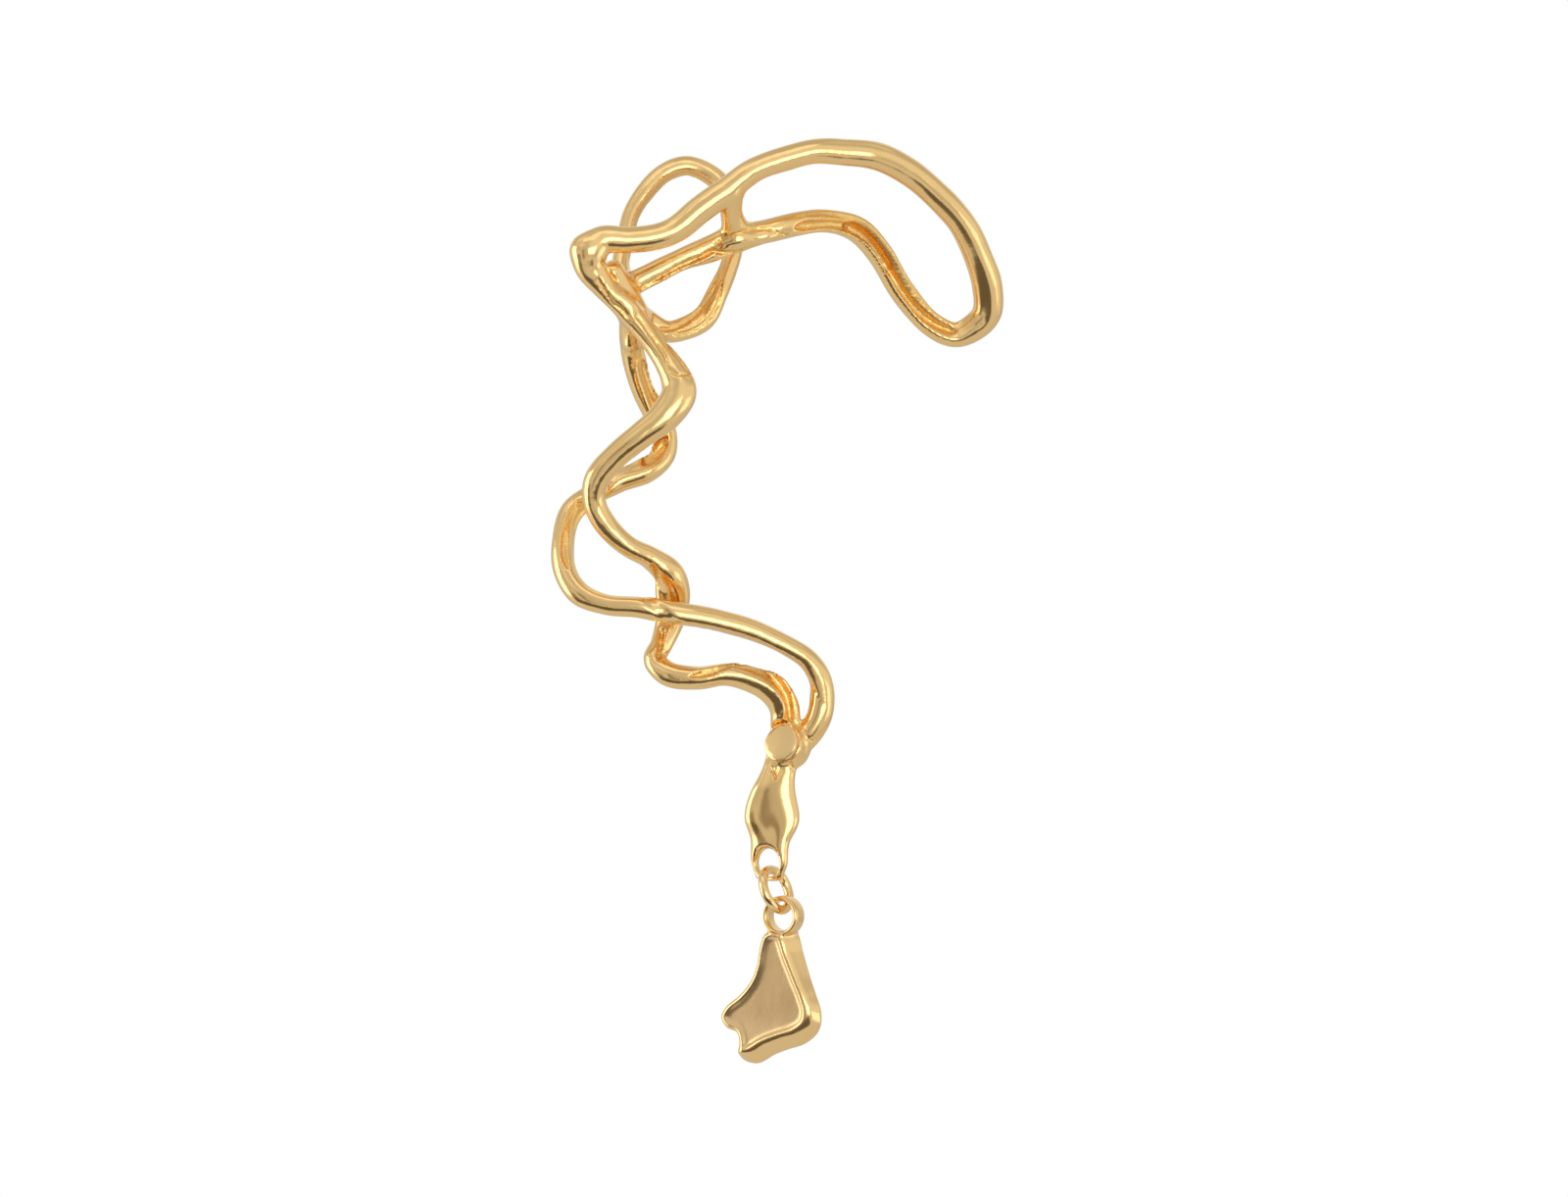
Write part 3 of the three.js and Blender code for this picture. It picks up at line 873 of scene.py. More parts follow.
@dataclass(frozen=True)
class GoldFinish:
    """One of the gold finishes.

    Attributes:
        name: The material's name.
        colour: The metal's colour.
        deep: The colour laid where the recess mask is: painted shade in the casting's recesses and
            channels, and a duller tone on the pendant's satin face.
        rough: Roughness where polished.
        deep_rough: Roughness in recesses.
        smudge_rough: How much smudges add to it.
        ripple_scale: Waves to a metre in the polished skin.
        ripple_depth: Strength of that ripple.
        hairline_depth: Strength of the polishing lines.
        rough_depth: Strength of the cast grain in recesses.
    """

    name: str
    colour: Colour
    deep: Colour
    rough: float
    deep_rough: float
    smudge_rough: float
    ripple_scale: float
    ripple_depth: float
    hairline_depth: float
    rough_depth: float

    def material(self, effects: SharedEffects) -> bpy.types.Material:
        """Makes the material.

        Args:
            effects: The shared shader groups.

        Returns:
            The material.
        """
        made = bpy.data.materials.new(self.name)
        bench = Bench.cleared(made)
        recess = bench.add("ShaderNodeAttribute", {"attribute_name": "recess"}).outputs["Fac"]
        marks = bench.add(
            "ShaderNodeGroup", {"node_tree": effects.hand_polish}, Ripple_Scale=self.ripple_scale,
            Ripple_Depth=self.ripple_depth, Hairline_Depth=self.hairline_depth, Rough=recess,
            Rough_Depth=self.rough_depth,
        )
        tone = bench.add(
            "ShaderNodeGroup", {"node_tree": effects.recess_tone}, Polished=self.colour, Deep=self.deep,
            Recess=recess, Smudge=marks.outputs["Smudge"], Polish_Rough=self.rough,
            Deep_Rough=self.deep_rough, Smudge_Rough=self.smudge_rough,
        )
        metal = bench.add(
            "ShaderNodeBsdfPrincipled", Base_Color=tone.outputs["Colour"], Metallic=1.0,
            Roughness=tone.outputs["Roughness"], Normal=marks.outputs["Normal"],
        )
        bench.add("ShaderNodeOutputMaterial", Surface=metal.outputs["BSDF"])
        return made


# The casting's deep colour is painted shade in its recesses and chased channels.
POLISHED_CASTING = GoldFinish(
    name="polished_casting", colour=(0.98, 0.67, 0.29, 1.0), deep=(0.93, 0.54, 0.14, 1.0),
    rough=0.13, deep_rough=0.3, smudge_rough=0.06, ripple_scale=420.0, ripple_depth=0.12,
    hairline_depth=0.03, rough_depth=0.7,
)
BRIGHT_WIRE = GoldFinish(
    name="bright_wire", colour=(0.99, 0.69, 0.31, 1.0), deep=(0.9, 0.55, 0.18, 1.0),
    rough=0.1, deep_rough=0.3, smudge_rough=0.05, ripple_scale=700.0, ripple_depth=0.06,
    hairline_depth=0.05, rough_depth=0.2,
)
SATIN_FACE = GoldFinish(
    name="satin_face", colour=(0.97, 0.67, 0.3, 1.0), deep=(0.86, 0.6, 0.3, 1.0),
    rough=0.14, deep_rough=0.3, smudge_rough=0.05, ripple_scale=380.0, ripple_depth=0.12,
    hairline_depth=0.1, rough_depth=0.05,
)


def mesh_object(name: str, points: np.ndarray, faces: np.ndarray, finish: bpy.types.Material,
                recess: np.ndarray | None = None) -> bpy.types.Object:
    """Makes a smooth mesh object from millimetres.

    Args:
        name: The object's name.
        points: Its points, one in each row.
        faces: Its faces, all with as many corners.
        finish: Its material.
        recess: How far each point is down in a recess, from 0 to 1.

    Returns:
        The object, linked to the scene.
    """
    mesh = bpy.data.meshes.new(name)
    corners = faces.shape[1]
    mesh.vertices.add(len(points))
    mesh.vertices.foreach_set("co", (points * MM).astype(np.float32).ravel())
    mesh.loops.add(faces.size)
    mesh.loops.foreach_set("vertex_index", faces.astype(np.int32).ravel())
    mesh.polygons.add(len(faces))
    mesh.polygons.foreach_set("loop_start", np.arange(0, faces.size, corners, dtype=np.int32))
    mesh.update(calc_edges=True)
    mesh.validate()
    mesh.polygons.foreach_set("use_smooth", np.ones(len(mesh.polygons), bool))
    values = np.zeros(len(points)) if recess is None else recess
    mesh.attributes.new("recess", "FLOAT", "POINT").data.foreach_set("value", values.astype(np.float32))
    mesh.materials.append(finish)
    made = bpy.data.objects.new(name, mesh)
    bpy.context.scene.collection.objects.link(made)
    return made


@dataclass
class CastFrame:
    """The one-piece casting: strands, webs, lug, vase-shaped bar and eye."""

    sizes: CuffSizes = field(default_factory=CuffSizes)
    radius: float = 1.25
    cell: float = 0.186
    groove_half: float = math.radians(40.0)
    strand_blend: float = 0.7
    bar_half: tuple[float, float] = (2.7, 0.85)
    bar_corner: float = 2.6
    bar_tip: float = 0.75
    lug_radius: float = 1.88
    lug_front: float = 0.9
    lug_back: float = 1.3
    eye_hole: float = 1.35
    eye_rim: float = 0.6
    eye_half: float = 0.62
    eye_yaw: float = 32.0
    bore: float = 0.82

    HOOK = (
        (8.6, 84.5, 0, 134, 112, 0, 0),
        (12, 86, 1, 110, 103, 0, 0),
        (17.5, 86, 3, 100, 100, 0, 0),
        (24, 86.5, 5, 100, 100, 0, 0),
        (28, 87.5, 7, 102, 102, 0, 0),
        (33, 90, 9, 108, 104, 0, 0),
        (38.5, 92.5, 11, 102, 102, 0, 0),
        (45, 95.5, 14, 95, 95, 0, 0),
        (51.5, 97, 18, 96, 96, 0, 0),
        (58, 98, 22, 97, 97, 0, 0),
        (65, 98, 28, 105, 100, 0, 0),
        (72, 97.5, 35, 110, 104, 0, 0),
        (79, 95.5, 45, 110, 104, 0, 0),
        (85, 92.5, 55, 107, 102, 0, 0),
        (90.5, 89, 65, 107, 102, 0, 0),
        (94, 85, 77, 110, 104, 0, 0),
        (96.5, 80.5, 89, 118, 108, 0, 0),
        (96.5, 77, 96, 118, 108, 0, 0),
        (93.5, 75, 99, 108, 104, 10, 40),
        (89.5, 74, 100, 98, 98, 25, 20),
        (84, 75.5, 95, 98, 98, 40, 20),
        (78, 79.5, 87, 100, 100, 45, 22),
        (73, 84.5, 76, 102, 100, 60, 25),
        (67.5, 88, 65, 104, 100, 55, 25),
        (61, 89, 54, 88, 95, 35, 20),
        (54, 88.5, 45, 95, 95, 15, 10),
        (47.5, 87.5, 40, 88, 92, 0, 0),
        (41, 86.5, 36, 112, 98, 8, -10),
        (35, 85, 33, 104, 92, 10, -15),
        (28.5, 83.5, 30, 88, 88, 10, -15),
        (22, 81.5, 27, 90, 90, 6, -10),
        (17, 80, 26, 100, 100, 0, 0),
    )
    LOOP = (
        (16.5, 79.5, 30, 92, 92, 0, 0),
        (15.5, 83, 39, 68, 75, 15, 60),
        (16.5, 86.5, 48, 70, 78, 30, 70),
        (18, 90, 54, 74, 80, 40, 70),
        (21, 93, 58, 80, 82, 40, 70),
        (25, 95.5, 62, 80, 82, 40, 70),
        (30, 96.5, 64, 85, 85, 40, 70),
        (34.5, 95.5, 64, 87, 85, 45, 70),
        (38, 93.5, 61, 79, 82, 45, 70),
        (40, 90.5, 59, 75, 80, 35, 65),
        (40.5, 86.5, 55, 75, 78, 25, 60),
        (39, 82.5, 51, 73, 76, 30, 50),
        (36.5, 79, 46, 82, 78, 25, 40),
        (34, 76, 43, 98, 85, 20, 40),
        (30, 74.5, 39, 92, 82, 22, 35),
        (25.5, 74, 34, 84, 80, 15, 30),
        (20, 76, 25, 84, 84, 0, 0),
    )
    SPINE = (
        (8.6, 84.5, 0, 134, 112, 0, 0),
        (8.9, 82.5, 1, 122, 100, 0, 0),
        (11.7, 80, 4, 94, 92, 0, 0),
        (15.5, 77.5, 7, 82, 88, 0, 0),
        (19.5, 75, 9, 95, 95, 10, -50),
        (24, 71.5, 8, 95, 95, 35, -35),
        (27.5, 68, 5, 118, 104, 10, -35),
        (28.5, 65.5, 2, 140, 112, 0, 0),
        (25.5, 62.5, -1, 122, 104, 0, 0),
        (20.5, 60, -1, 102, 98, 0, 0),
        (14.5, 57, 2, 98, 97, 0, 0),
        (10.5, 54, 5, 98, 98, 0, 0),
        (10, 51, 9, 88, 92, 0, 0),
        (12.5, 48, 12, 86, 90, 0, 0),
        (17.5, 45, 16, 84, 88, 8, 70),
        (22, 43.5, 21, 92, 90, 14, 70),
        (26, 41.5, 26, 118, 102, 14, 50),
        (27, 39, 34, 142, 108, 14, 20),
        (26.5, 35.5, 38, 115, 100, 12, 0),
        (24.5, 32, 34, 84, 88, 12, -10),
        (23, 30, 29, 86, 88, 15, -40),
        (26, 28, 24, 98, 96, 0, 0),
        (32.5, 27.5, 21, 88, 92, 10, -60),
        (38.5, 28, 21, 92, 92, 20, -70),
        (44, 27.5, 24, 110, 100, 40, -55),
        (49, 26, 27, 128, 106, 60, -50),
        (51.5, 23.5, 31, 114, 102, 55, -50),
        (51.5, 20, 34, 106, 106, 0, 0),
    )
    WRAP = (
        (18, 74.5, 24, 92, 92, 0, 0),
        (18, 72, 34, 90, 90, 25, -50),
        (19, 69, 42, 94, 92, 50, -45),
        (20.5, 66, 49, 92, 92, 55, -45),
        (23, 63, 56, 92, 92, 50, -20),
        (25, 60.5, 59, 95, 95, 50, 10),
        (24.5, 57.5, 56, 100, 98, 60, 25),
        (21, 55.5, 51, 104, 98, 30, 40),
        (15, 54, 49, 88, 90, 15, 60),
        (9, 52, 44, 86, 90, 30, -40),
        (4.5, 49.5, 36, 92, 92, 45, -50),
        (3, 46, 29, 92, 92, 15, -60),
        (3.5, 42, 22, 95, 95, 15, -75),
        (6.5, 39, 16, 100, 98, 15, -80),
        (12, 37.5, 13, 84, 90, 15, -80),
        (20, 37, 12, 88, 90, 15, -85),
        (28.5, 36, 13, 93, 92, 15, 80),
        (37, 35, 16, 94, 92, 30, 80),
        (45.5, 33.5, 19, 93, 92, 30, 80),
        (52.5, 31.5, 22, 85, 88, 20, 85),
        (57, 29.5, 26, 88, 88, 15, 85),
        (59.5, 26.5, 29, 96, 92, 15, 80),
        (59.5, 23, 31, 96, 96, 0, 0),
        (57, 20, 32, 98, 98, 0, 0),
        (53, 18, 33, 104, 100, 0, 0),
    )
    HOOK_BRIDGE = (
        (39.8, 92, 14, 95, 90, 0, 0),
        (40, 89.5, 24, 84, 85, 0, 0),
        (41.3, 87, 34, 118, 90, 0, 0),
    )
    SHOULDER = (
        (14, 82, 12, 80, 100, 0, 0),
        (16.5, 78.5, 18, 120, 120, 0, 0),
        (18.5, 75.5, 20, 95, 120, 0, 0),
        (18, 72.5, 26, 70, 100, 0, 0),
    )
    ELBOW_WEB = (
        (15.9, 79.3, 19, 85, 60, 0, 0),
        (16.9, 77.9, 18, 110, 60, 0, 0),
        (18.3, 76.4, 18, 108, 62, 0, 0),
        (19.5, 75, 20, 85, 66, 0, 0),
    )
    # Channels and two beads along the casting's creases; each channel's floor carries painted shade, the
    # beads none.
    CHASED = (
        (ChasedMark(0.22, 0.4), ((615, 268), (620, 276), (626, 285), (631, 292))),
        (ChasedMark(0.16, 0.28), ((611, 286), (618, 298), (626, 310), (636, 318), (648, 332))),
        (ChasedMark(0.28, 0.55), (
            (654, 297), (668, 288), (680, 281), (692, 274), (705, 268), (718, 262), (729, 256), (738, 251),
        )),
        (ChasedMark(0.24, 0.4), ((726, 258), (742, 259), (754, 257), (765, 253), (780, 249))),
        (ChasedMark(0.14, 0.2), (
            (728, 251), (740, 244), (755, 239), (770, 236), (785, 236), (797, 239), (806, 240),
        )),
        (ChasedMark(0.13, 0.22, 0.8), (
            (648, 322), (655, 330), (663, 342), (672, 354), (679, 365), (682, 376), (688, 383), (697, 385),
            (706, 384),
        )),
        (ChasedMark(0.3, 0.4), (
            (658, 320), (666, 329), (676, 341), (685, 353), (693, 365), (700, 376), (706, 384),
        )),
        (ChasedMark(0.22, 0.35), ((643, 338), (648, 350), (649, 364), (647, 378))),
        (ChasedMark(0.32, 0.4), ((656, 368), (661, 384), (666, 398), (670, 409))),
        (ChasedMark(0.24, 0.35), (
            (733, 283), (728, 298), (718, 312), (706, 325), (690, 335), (676, 337), (663, 328),
        )),
        (ChasedMark(0.2, 0.3), ((738, 285), (735, 301), (729, 318), (718, 331), (701, 340), (687, 342))),
        (ChasedMark(0.5, 0.6), (
            (812, 233), (830, 230), (850, 229), (868, 232), (882, 240), (894, 252), (904, 267), (914, 283),
        )),
        (ChasedMark(0.62, 0.7), ((862, 229), (878, 237), (890, 248), (900, 262), (907, 274))),
        (ChasedMark(0.4, 0.5), (
            (908, 275), (918, 290), (927, 302), (937, 314), (949, 324), (963, 332), (977, 336),
        )),
        (ChasedMark(0.6, 0.8), ((657, 474), (666, 465), (674, 456), (680, 447))),
        (ChasedMark(0.28, 0.35), ((593, 510), (586, 522), (580, 537), (577, 552), (577, 567), (581, 580))),
        (ChasedMark(0.26, 0.5), ((667, 573), (671, 584), (671, 597))),
        (ChasedMark(0.28, 0.4), ((678, 634), (676, 648), (674, 662), (672, 674))),
        (ChasedMark(0.36, 0.5), (
            (705, 690), (725, 685), (745, 679), (765, 677), (780, 683), (792, 693), (802, 708), (806, 724),
            (806, 736),
        )),
        (ChasedMark(0.45, 0.22, 0.0, False), ((744, 249), (760, 246), (775, 244), (788, 242))),
        (ChasedMark(0.6, 0.1, 0.0, False), ((628, 303), (640, 310), (650, 319))),
    )
    # Chased lines round the neck. The two V channels under the stud's head stand for a dark reflection of
    # the head's shadow; all four carry painted shade in their floors.
    NECK_MARKS_AND_SHADE = (
        (ChasedMark(0.14, 0.3, 0.6), ((787, 780), (789, 786), (791, 792), (792, 797))),
        (ChasedMark(0.12, 0.24, 0.6), ((797, 780), (795, 786), (793, 791), (792, 796))),
        (ChasedMark(0.12, 0.2, 0.7), ((804, 775), (807, 778), (808, 782), (811, 784))),
        (ChasedMark(0.11, 0.16, 0.7), (
            (806, 730), (809, 736), (820, 742), (823, 751), (829, 754), (836, 748), (842, 741), (849, 730),
        )),
    )
    BAR = (
        (52, 19, 31, 66, 110, 5),
        (51, 16.5, 30, 60, 100, 8),
        (50, 14.5, 29, 62, 105, 10),
        (49, 12.5, 29, 78, 118, 10),
        (48.8, 10.2, 29, 98, 125, 10),
        (48.8, 8.3, 29, 103, 122, 12),
        (48.8, 6.8, 29, 86, 112, 18),
        (48.4, 5.4, 29, 71, 100, 26),
        (48.2, 3.8, 29, 76, 88, 32),
        (48.2, 2.2, 29, 74, 80, 32),
        (48.2, 1.2, 29, 58, 70, 32),
    )
    WAX = ((0.045, 5.0, 7), (0.006, 1.7, 11), (0.03, 0.75, 19))
    STRANDS = (HOOK, LOOP, SPINE, WRAP, HOOK_BRIDGE, SHOULDER, ELBOW_WEB)

    def build(self, stud: StudPlace, finish: bpy.types.Material) -> bpy.types.Object:
        """Models the casting.

        Args:
            stud: Where the lobe stud is.
            finish: The material.

        Returns:
            The casting.
        """
        low, high = (np.array(corner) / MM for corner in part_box("cuff_frame"))
        margin, evening = 1.2, 6
        block = Field(low - margin, high + margin, self.cell)
        for rows in self.STRANDS:
            line = StrandLine.from_rows(rows, self.sizes, self.radius)
            block.sweep(line, self.strand_blend, self.groove_half)
        for mark, seen in self.CHASED:
            block.chase(mark, self.sizes.seen(seen))
        self._add_bar(block)
        self._add_lug(block, stud)
        for mark, seen in self.NECK_MARKS_AND_SHADE:
            block.chase(mark, self.sizes.seen(seen))
        self._ripple(block)
        self._cut_holes(block, stud)
        points, faces = block.fine_skin(evening)
        recess = np.clip(block.read(block.recess, points), 0.0, 1.0)
        points = self._roughen(points, faces, recess)
        return mesh_object("cast_frame", points, faces, finish, recess)

    def _add_bar(self, block: Field) -> None:
        """Adds the vase-shaped bar to the block.

        Args:
            block: The block.
        """
        per_span, centre_evening, section_evening, fillet = 40, 20, 18, 0.5
        margin = np.array([4.5, 3.5, 2.5])
        table = np.array(self.BAR, float)
        knots = np.array([self.sizes.place(*row[:3]) for row in table])
        curve, position = spline(knots, False, per_span)
        window = block.window(curve.min(axis=0) - margin, curve.max(axis=0) + margin)
        corners = block.corners(window)
        height = np.clip(corners[..., 2], curve[-1, 2], curve[0, 2])
        order = curve[::-1, 2]
        x, y = (np.interp(height, order, softened(curve[:, i], centre_evening)[::-1]) for i in (0, 1))
        where = np.interp(height, order, position[::-1])
        rows = np.linspace(0, len(table) - 1, per_span * len(table))
        smooth = softened(columns_at(rows, np.arange(len(table)), table[:, 3:]), section_evening)
        wide, flat, yaw = (np.interp(where, rows, column) for column in smooth.T)
        turn = np.radians(yaw)
        dx, dy = corners[..., 0] - x, corners[..., 1] - y
        u = np.abs(dx * np.cos(turn) - dy * np.sin(turn))
        v = np.abs(dx * np.sin(turn) + dy * np.cos(turn))
        w = np.abs(corners[..., 2] - height)
        half_wide, half_deep = self.bar_half
        shares = (u / (wide * PERCENT * half_wide), v / (flat * PERCENT * half_deep), w / self.bar_tip)
        ratio = sum(share ** self.bar_corner for share in shares) ** (1.0 / self.bar_corner) + TINY
        length = np.sqrt(u * u + v * v + w * w) + TINY
        block.join(window, to_skin(length, ratio), fillet)

    def _add_lug(self, block: Field, stud: StudPlace) -> None:
        """Adds the round lug behind the stud's head.

        Args:
            block: The block to add it to.
            stud: Where the stud is.
        """
        margin, edge, fillet, clear_rim, clear_edge = 5.0, 0.25, 0.35, 0.4, 0.1
        centre = self.sizes.place(*self.sizes.lug)
        window = block.window(centre - margin, centre + margin)
        gap = block.corners(window) - centre
        height = gap @ stud.way
        radial = np.linalg.norm(gap - height[..., None] * stud.way, axis=-1)
        middle = (self.lug_front - self.lug_back) / 2.0
        half = (self.lug_front + self.lug_back) / 2.0
        past_side, past_end = radial - self.lug_radius, np.abs(height - middle) - half
        outer = np.hypot(np.maximum(past_side + edge, 0.0), np.maximum(past_end + edge, 0.0))
        inner = np.minimum(np.maximum(past_side, past_end), 0.0)
        block.join(window, outer + inner - edge, fillet)
        block.cut(window, np.maximum(past_side - clear_rim, self.lug_front - height), clear_edge)

    def _cut_holes(self, block: Field, stud: StudPlace) -> None:
        """Cuts the stud's bore and the eye.

        Args:
            block: The block to cut.
            stud: Where the stud is.
        """
        bore_margin, eye_margin = np.array([2.0, 8.0, 2.0]), 3.0
        bore_edge, eye_edge = 0.08, 0.12
        head = stud.head_centre
        window = block.window(head - bore_margin, head + bore_margin)
        gap = block.corners(window) - head
        block.cut(window, np.hypot(gap[..., 0], gap[..., 2]) - self.bore, bore_edge)
        centre = self.sizes.place(*self.sizes.eye)
        window = block.window(centre - eye_margin, centre + eye_margin)
        gap = block.corners(window) - centre
        axis = facing(self.eye_yaw)
        depth = np.clip(np.abs(gap @ axis) / self.eye_half, 0.0, 1.0)
        radial = np.linalg.norm(gap - (gap @ axis)[..., None] * axis, axis=-1)
        mouth = self.eye_hole + self.eye_rim / 2.0 * (1.0 - np.sqrt(1.0 - depth * depth))
        block.cut(window, radial - mouth, eye_edge)

    def _ripple(self, block: Field) -> None:
        """Gives the skin the slow unevenness of a hand-worked wax.

        Args:
            block: The block to change.
        """
        near_cells = 4.0
        band = np.nonzero(np.abs(block.distance) < near_cells * block.cell)
        points = block.low + block.cell * np.stack(band, axis=1)
        slow, quick, grain = (height * gentle_noise(points, wave, seed) for height, wave, seed in self.WAX)
        block.distance[band] += (slow + quick + grain * block.recess[band]).astype(np.float32)

    @staticmethod
    def _roughen(points: np.ndarray, faces: np.ndarray, recess: np.ndarray) -> np.ndarray:
        """Leaves the floors of the recesses as cast.

        Args:
            points: The casting's points.
            faces: Its faces.
            recess: How far each point is down in a recess.

        Returns:
            The moved points.
        """
        height, wave, seed = 0.02, 0.42, 23
        one = points[faces[:, 2]] - points[faces[:, 0]]
        two = points[faces[:, 3]] - points[faces[:, 1]]
        flat = np.cross(one, two)
        normal = np.zeros_like(points)
        for corner in range(4):
            np.add.at(normal, faces[:, corner], flat)
        normal /= np.linalg.norm(normal, axis=1, keepdims=True) + LEAST
        grain = height * gentle_noise(points, wave, seed) * recess
        return points + normal * grain[:, None]


@dataclass
class StudPlace:
    """Where the lobe stud's head and post are, read from the record's mounts."""

    face: np.ndarray
    way: np.ndarray
    post_end: np.ndarray
    head_thick: float = 0.55

    @property
    def head_centre(self) -> np.ndarray:
        """Gives the middle of the head."""
        return self.face - self.way * self.head_thick / 2.0

    @classmethod
    def from_record(cls, record: dict[str, Any]) -> StudPlace:
        """Reads the stud's place.

        Args:
            record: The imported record.

        Returns:
            The stud's place.
        """
        mounts = {mount["name"]: mount for mount in record["mounts"]}
        face, end = mounts["stud_face"], mounts["post_end"]
        return cls(np.array(face["pos_m"]) / MM, np.array(face["axis"]), np.array(end["pos_m"]) / MM)


def turned(profile: Sequence[tuple[float, float]], sides: int, base: np.ndarray,
           axis: np.ndarray) -> tuple[np.ndarray, np.ndarray]:
    """Turns a closed solid of revolution on a lathe.

    Args:
        profile: Pairs of radius and height, from one end on the axis to the other.
        sides: Steps round the axis.
        base: Where the axis is at height 0.
        axis: The axis as a unit vector, which isn't straight up.

    Returns:
        The points and three-cornered faces.
    """
    side = np.cross(UP, axis)
    side /= np.linalg.norm(side)
    other = np.cross(axis, side)
    angles = circle(sides)
    around = np.cos(angles)[:, None] * side + np.sin(angles)[:, None] * other
    rings = [base + axis * height + around * radius for radius, height in profile[1:-1]]
    points = np.vstack([[base + axis * profile[0][1]], *rings, [base + axis * profile[-1][1]]])
    last = len(points) - 1
    faces = []
    for i in range(sides):
        n = (i + 1) % sides
        faces.append((0, 1 + n, 1 + i))
        for ring in range(len(rings) - 1):
            near, far = 1 + ring * sides, 1 + (ring + 1) * sides
            faces += [(near + i, near + n, far + n), (near + i, far + n, far + i)]
        tail = 1 + (len(rings) - 1) * sides
        faces.append((last, tail + i, tail + n))
    return points, np.array(faces)


@dataclass
class LobeStud:
    """The stud: a flat round head with an eased edge, its shank and a plain post."""

    head: float = 1.78
    edge: float = 0.14
    crown: float = 0.05
    crown_shares: tuple[float, ...] = (0.86, 0.7, 0.5, 0.3, 0.12)
    shank: float = 0.7
    shank_length: float = 2.75
    shank_neck: float = 0.12
    post: float = 0.45
    post_tip: float = 0.2
    tip_ease: float = 0.06
    sides: int = 96
    post_sides: int = 48

    def build(self, place: StudPlace, finish: bpy.types.Material) -> list[bpy.types.Object]:
        """Models the stud.

        Args:
            place: Where it is.
            finish: The material.

        Returns:
            The head and the post.
        """
        half = place.head_thick / 2.0
        arc = [math.radians(angle) for angle in range(0, 91, 15)]
        rim = [
            (self.head - self.edge * (1.0 - math.cos(a)), half - self.edge * (1.0 - math.sin(a)))
            for a in arc
        ]
        under = [(r, -h) for r, h in reversed(rim)]
        face = [
            (self.head * share, half + self.crown * (1.0 - share * share)) for share in self.crown_shares
        ]
        profile = [(0.0, -half), (self.head / 2.0, -half), *under, *rim, *face, (0.0, half + self.crown)]
        head = mesh_object("stud_head", *turned(profile, self.sides, place.head_centre, place.way), finish)
        end = float(place.post_end[1] - place.head_centre[1])
        neck, ease = self.shank_neck, self.tip_ease
        post_profile = [
            (0.0, self.edge), (self.shank, self.edge), (self.shank, self.shank_length - neck),
            (self.shank - neck, self.shank_length), (self.post, self.shank_length + neck / 2.0),
            (self.post, end - self.post_tip), (self.post - ease, end - ease),
            (self.post - self.post_tip, end), (0.0, end),
        ]
        shaft = turned(post_profile, self.post_sides, place.head_centre, BACK)
        return [head, mesh_object("stud_post", *shaft, finish)]


@dataclass
class JumpRing:
    """The bent wire ring between eye and bail."""

    wire: float = WIRE_RADIUS
    inside: float = 1.6
    around: int = 96
    section: int = 32

    def build(self, rim: np.ndarray, wire_centre: np.ndarray, wire_way: np.ndarray,
              finish: bpy.types.Material) -> bpy.types.Object:
        """Models the ring.

        Args:
            rim: Where it hangs on the eye.
            wire_centre: Its lowest point on the wire's middle.
            wire_way: The wire's direction there.
            finish: The material.

        Returns:
            The ring.
        """
        middle = self.inside + self.wire
        down = (wire_centre - rim) / np.linalg.norm(wire_centre - rim)
        level = wire_way - down * float(wire_way @ down)
        level /= np.linalg.norm(level)
        normal = np.cross(level, down)
        centre = wire_centre - down * middle
        angles = circle(self.around)
        outward = np.cos(angles)[:, None] * down + np.sin(angles)[:, None] * level
        small = circle(self.section)
        points = (
            centre + outward[:, None, :] * (middle + self.wire * np.cos(small)[None, :, None])
            + normal[None, None, :] * (self.wire * np.sin(small)[None, :, None])
        ).reshape(-1, 3)
        i, j = np.meshgrid(np.arange(self.around), np.arange(self.section), indexing="ij")
        next_i, next_j = (i + 1) % self.around, (j + 1) % self.section
        faces = np.stack([
            i * self.section + j, i * self.section + next_j, next_i * self.section + next_j,
            next_i * self.section + j,
        ], axis=-1).reshape(-1, 4)
        return mesh_object("ring_wire", points, faces, finish)


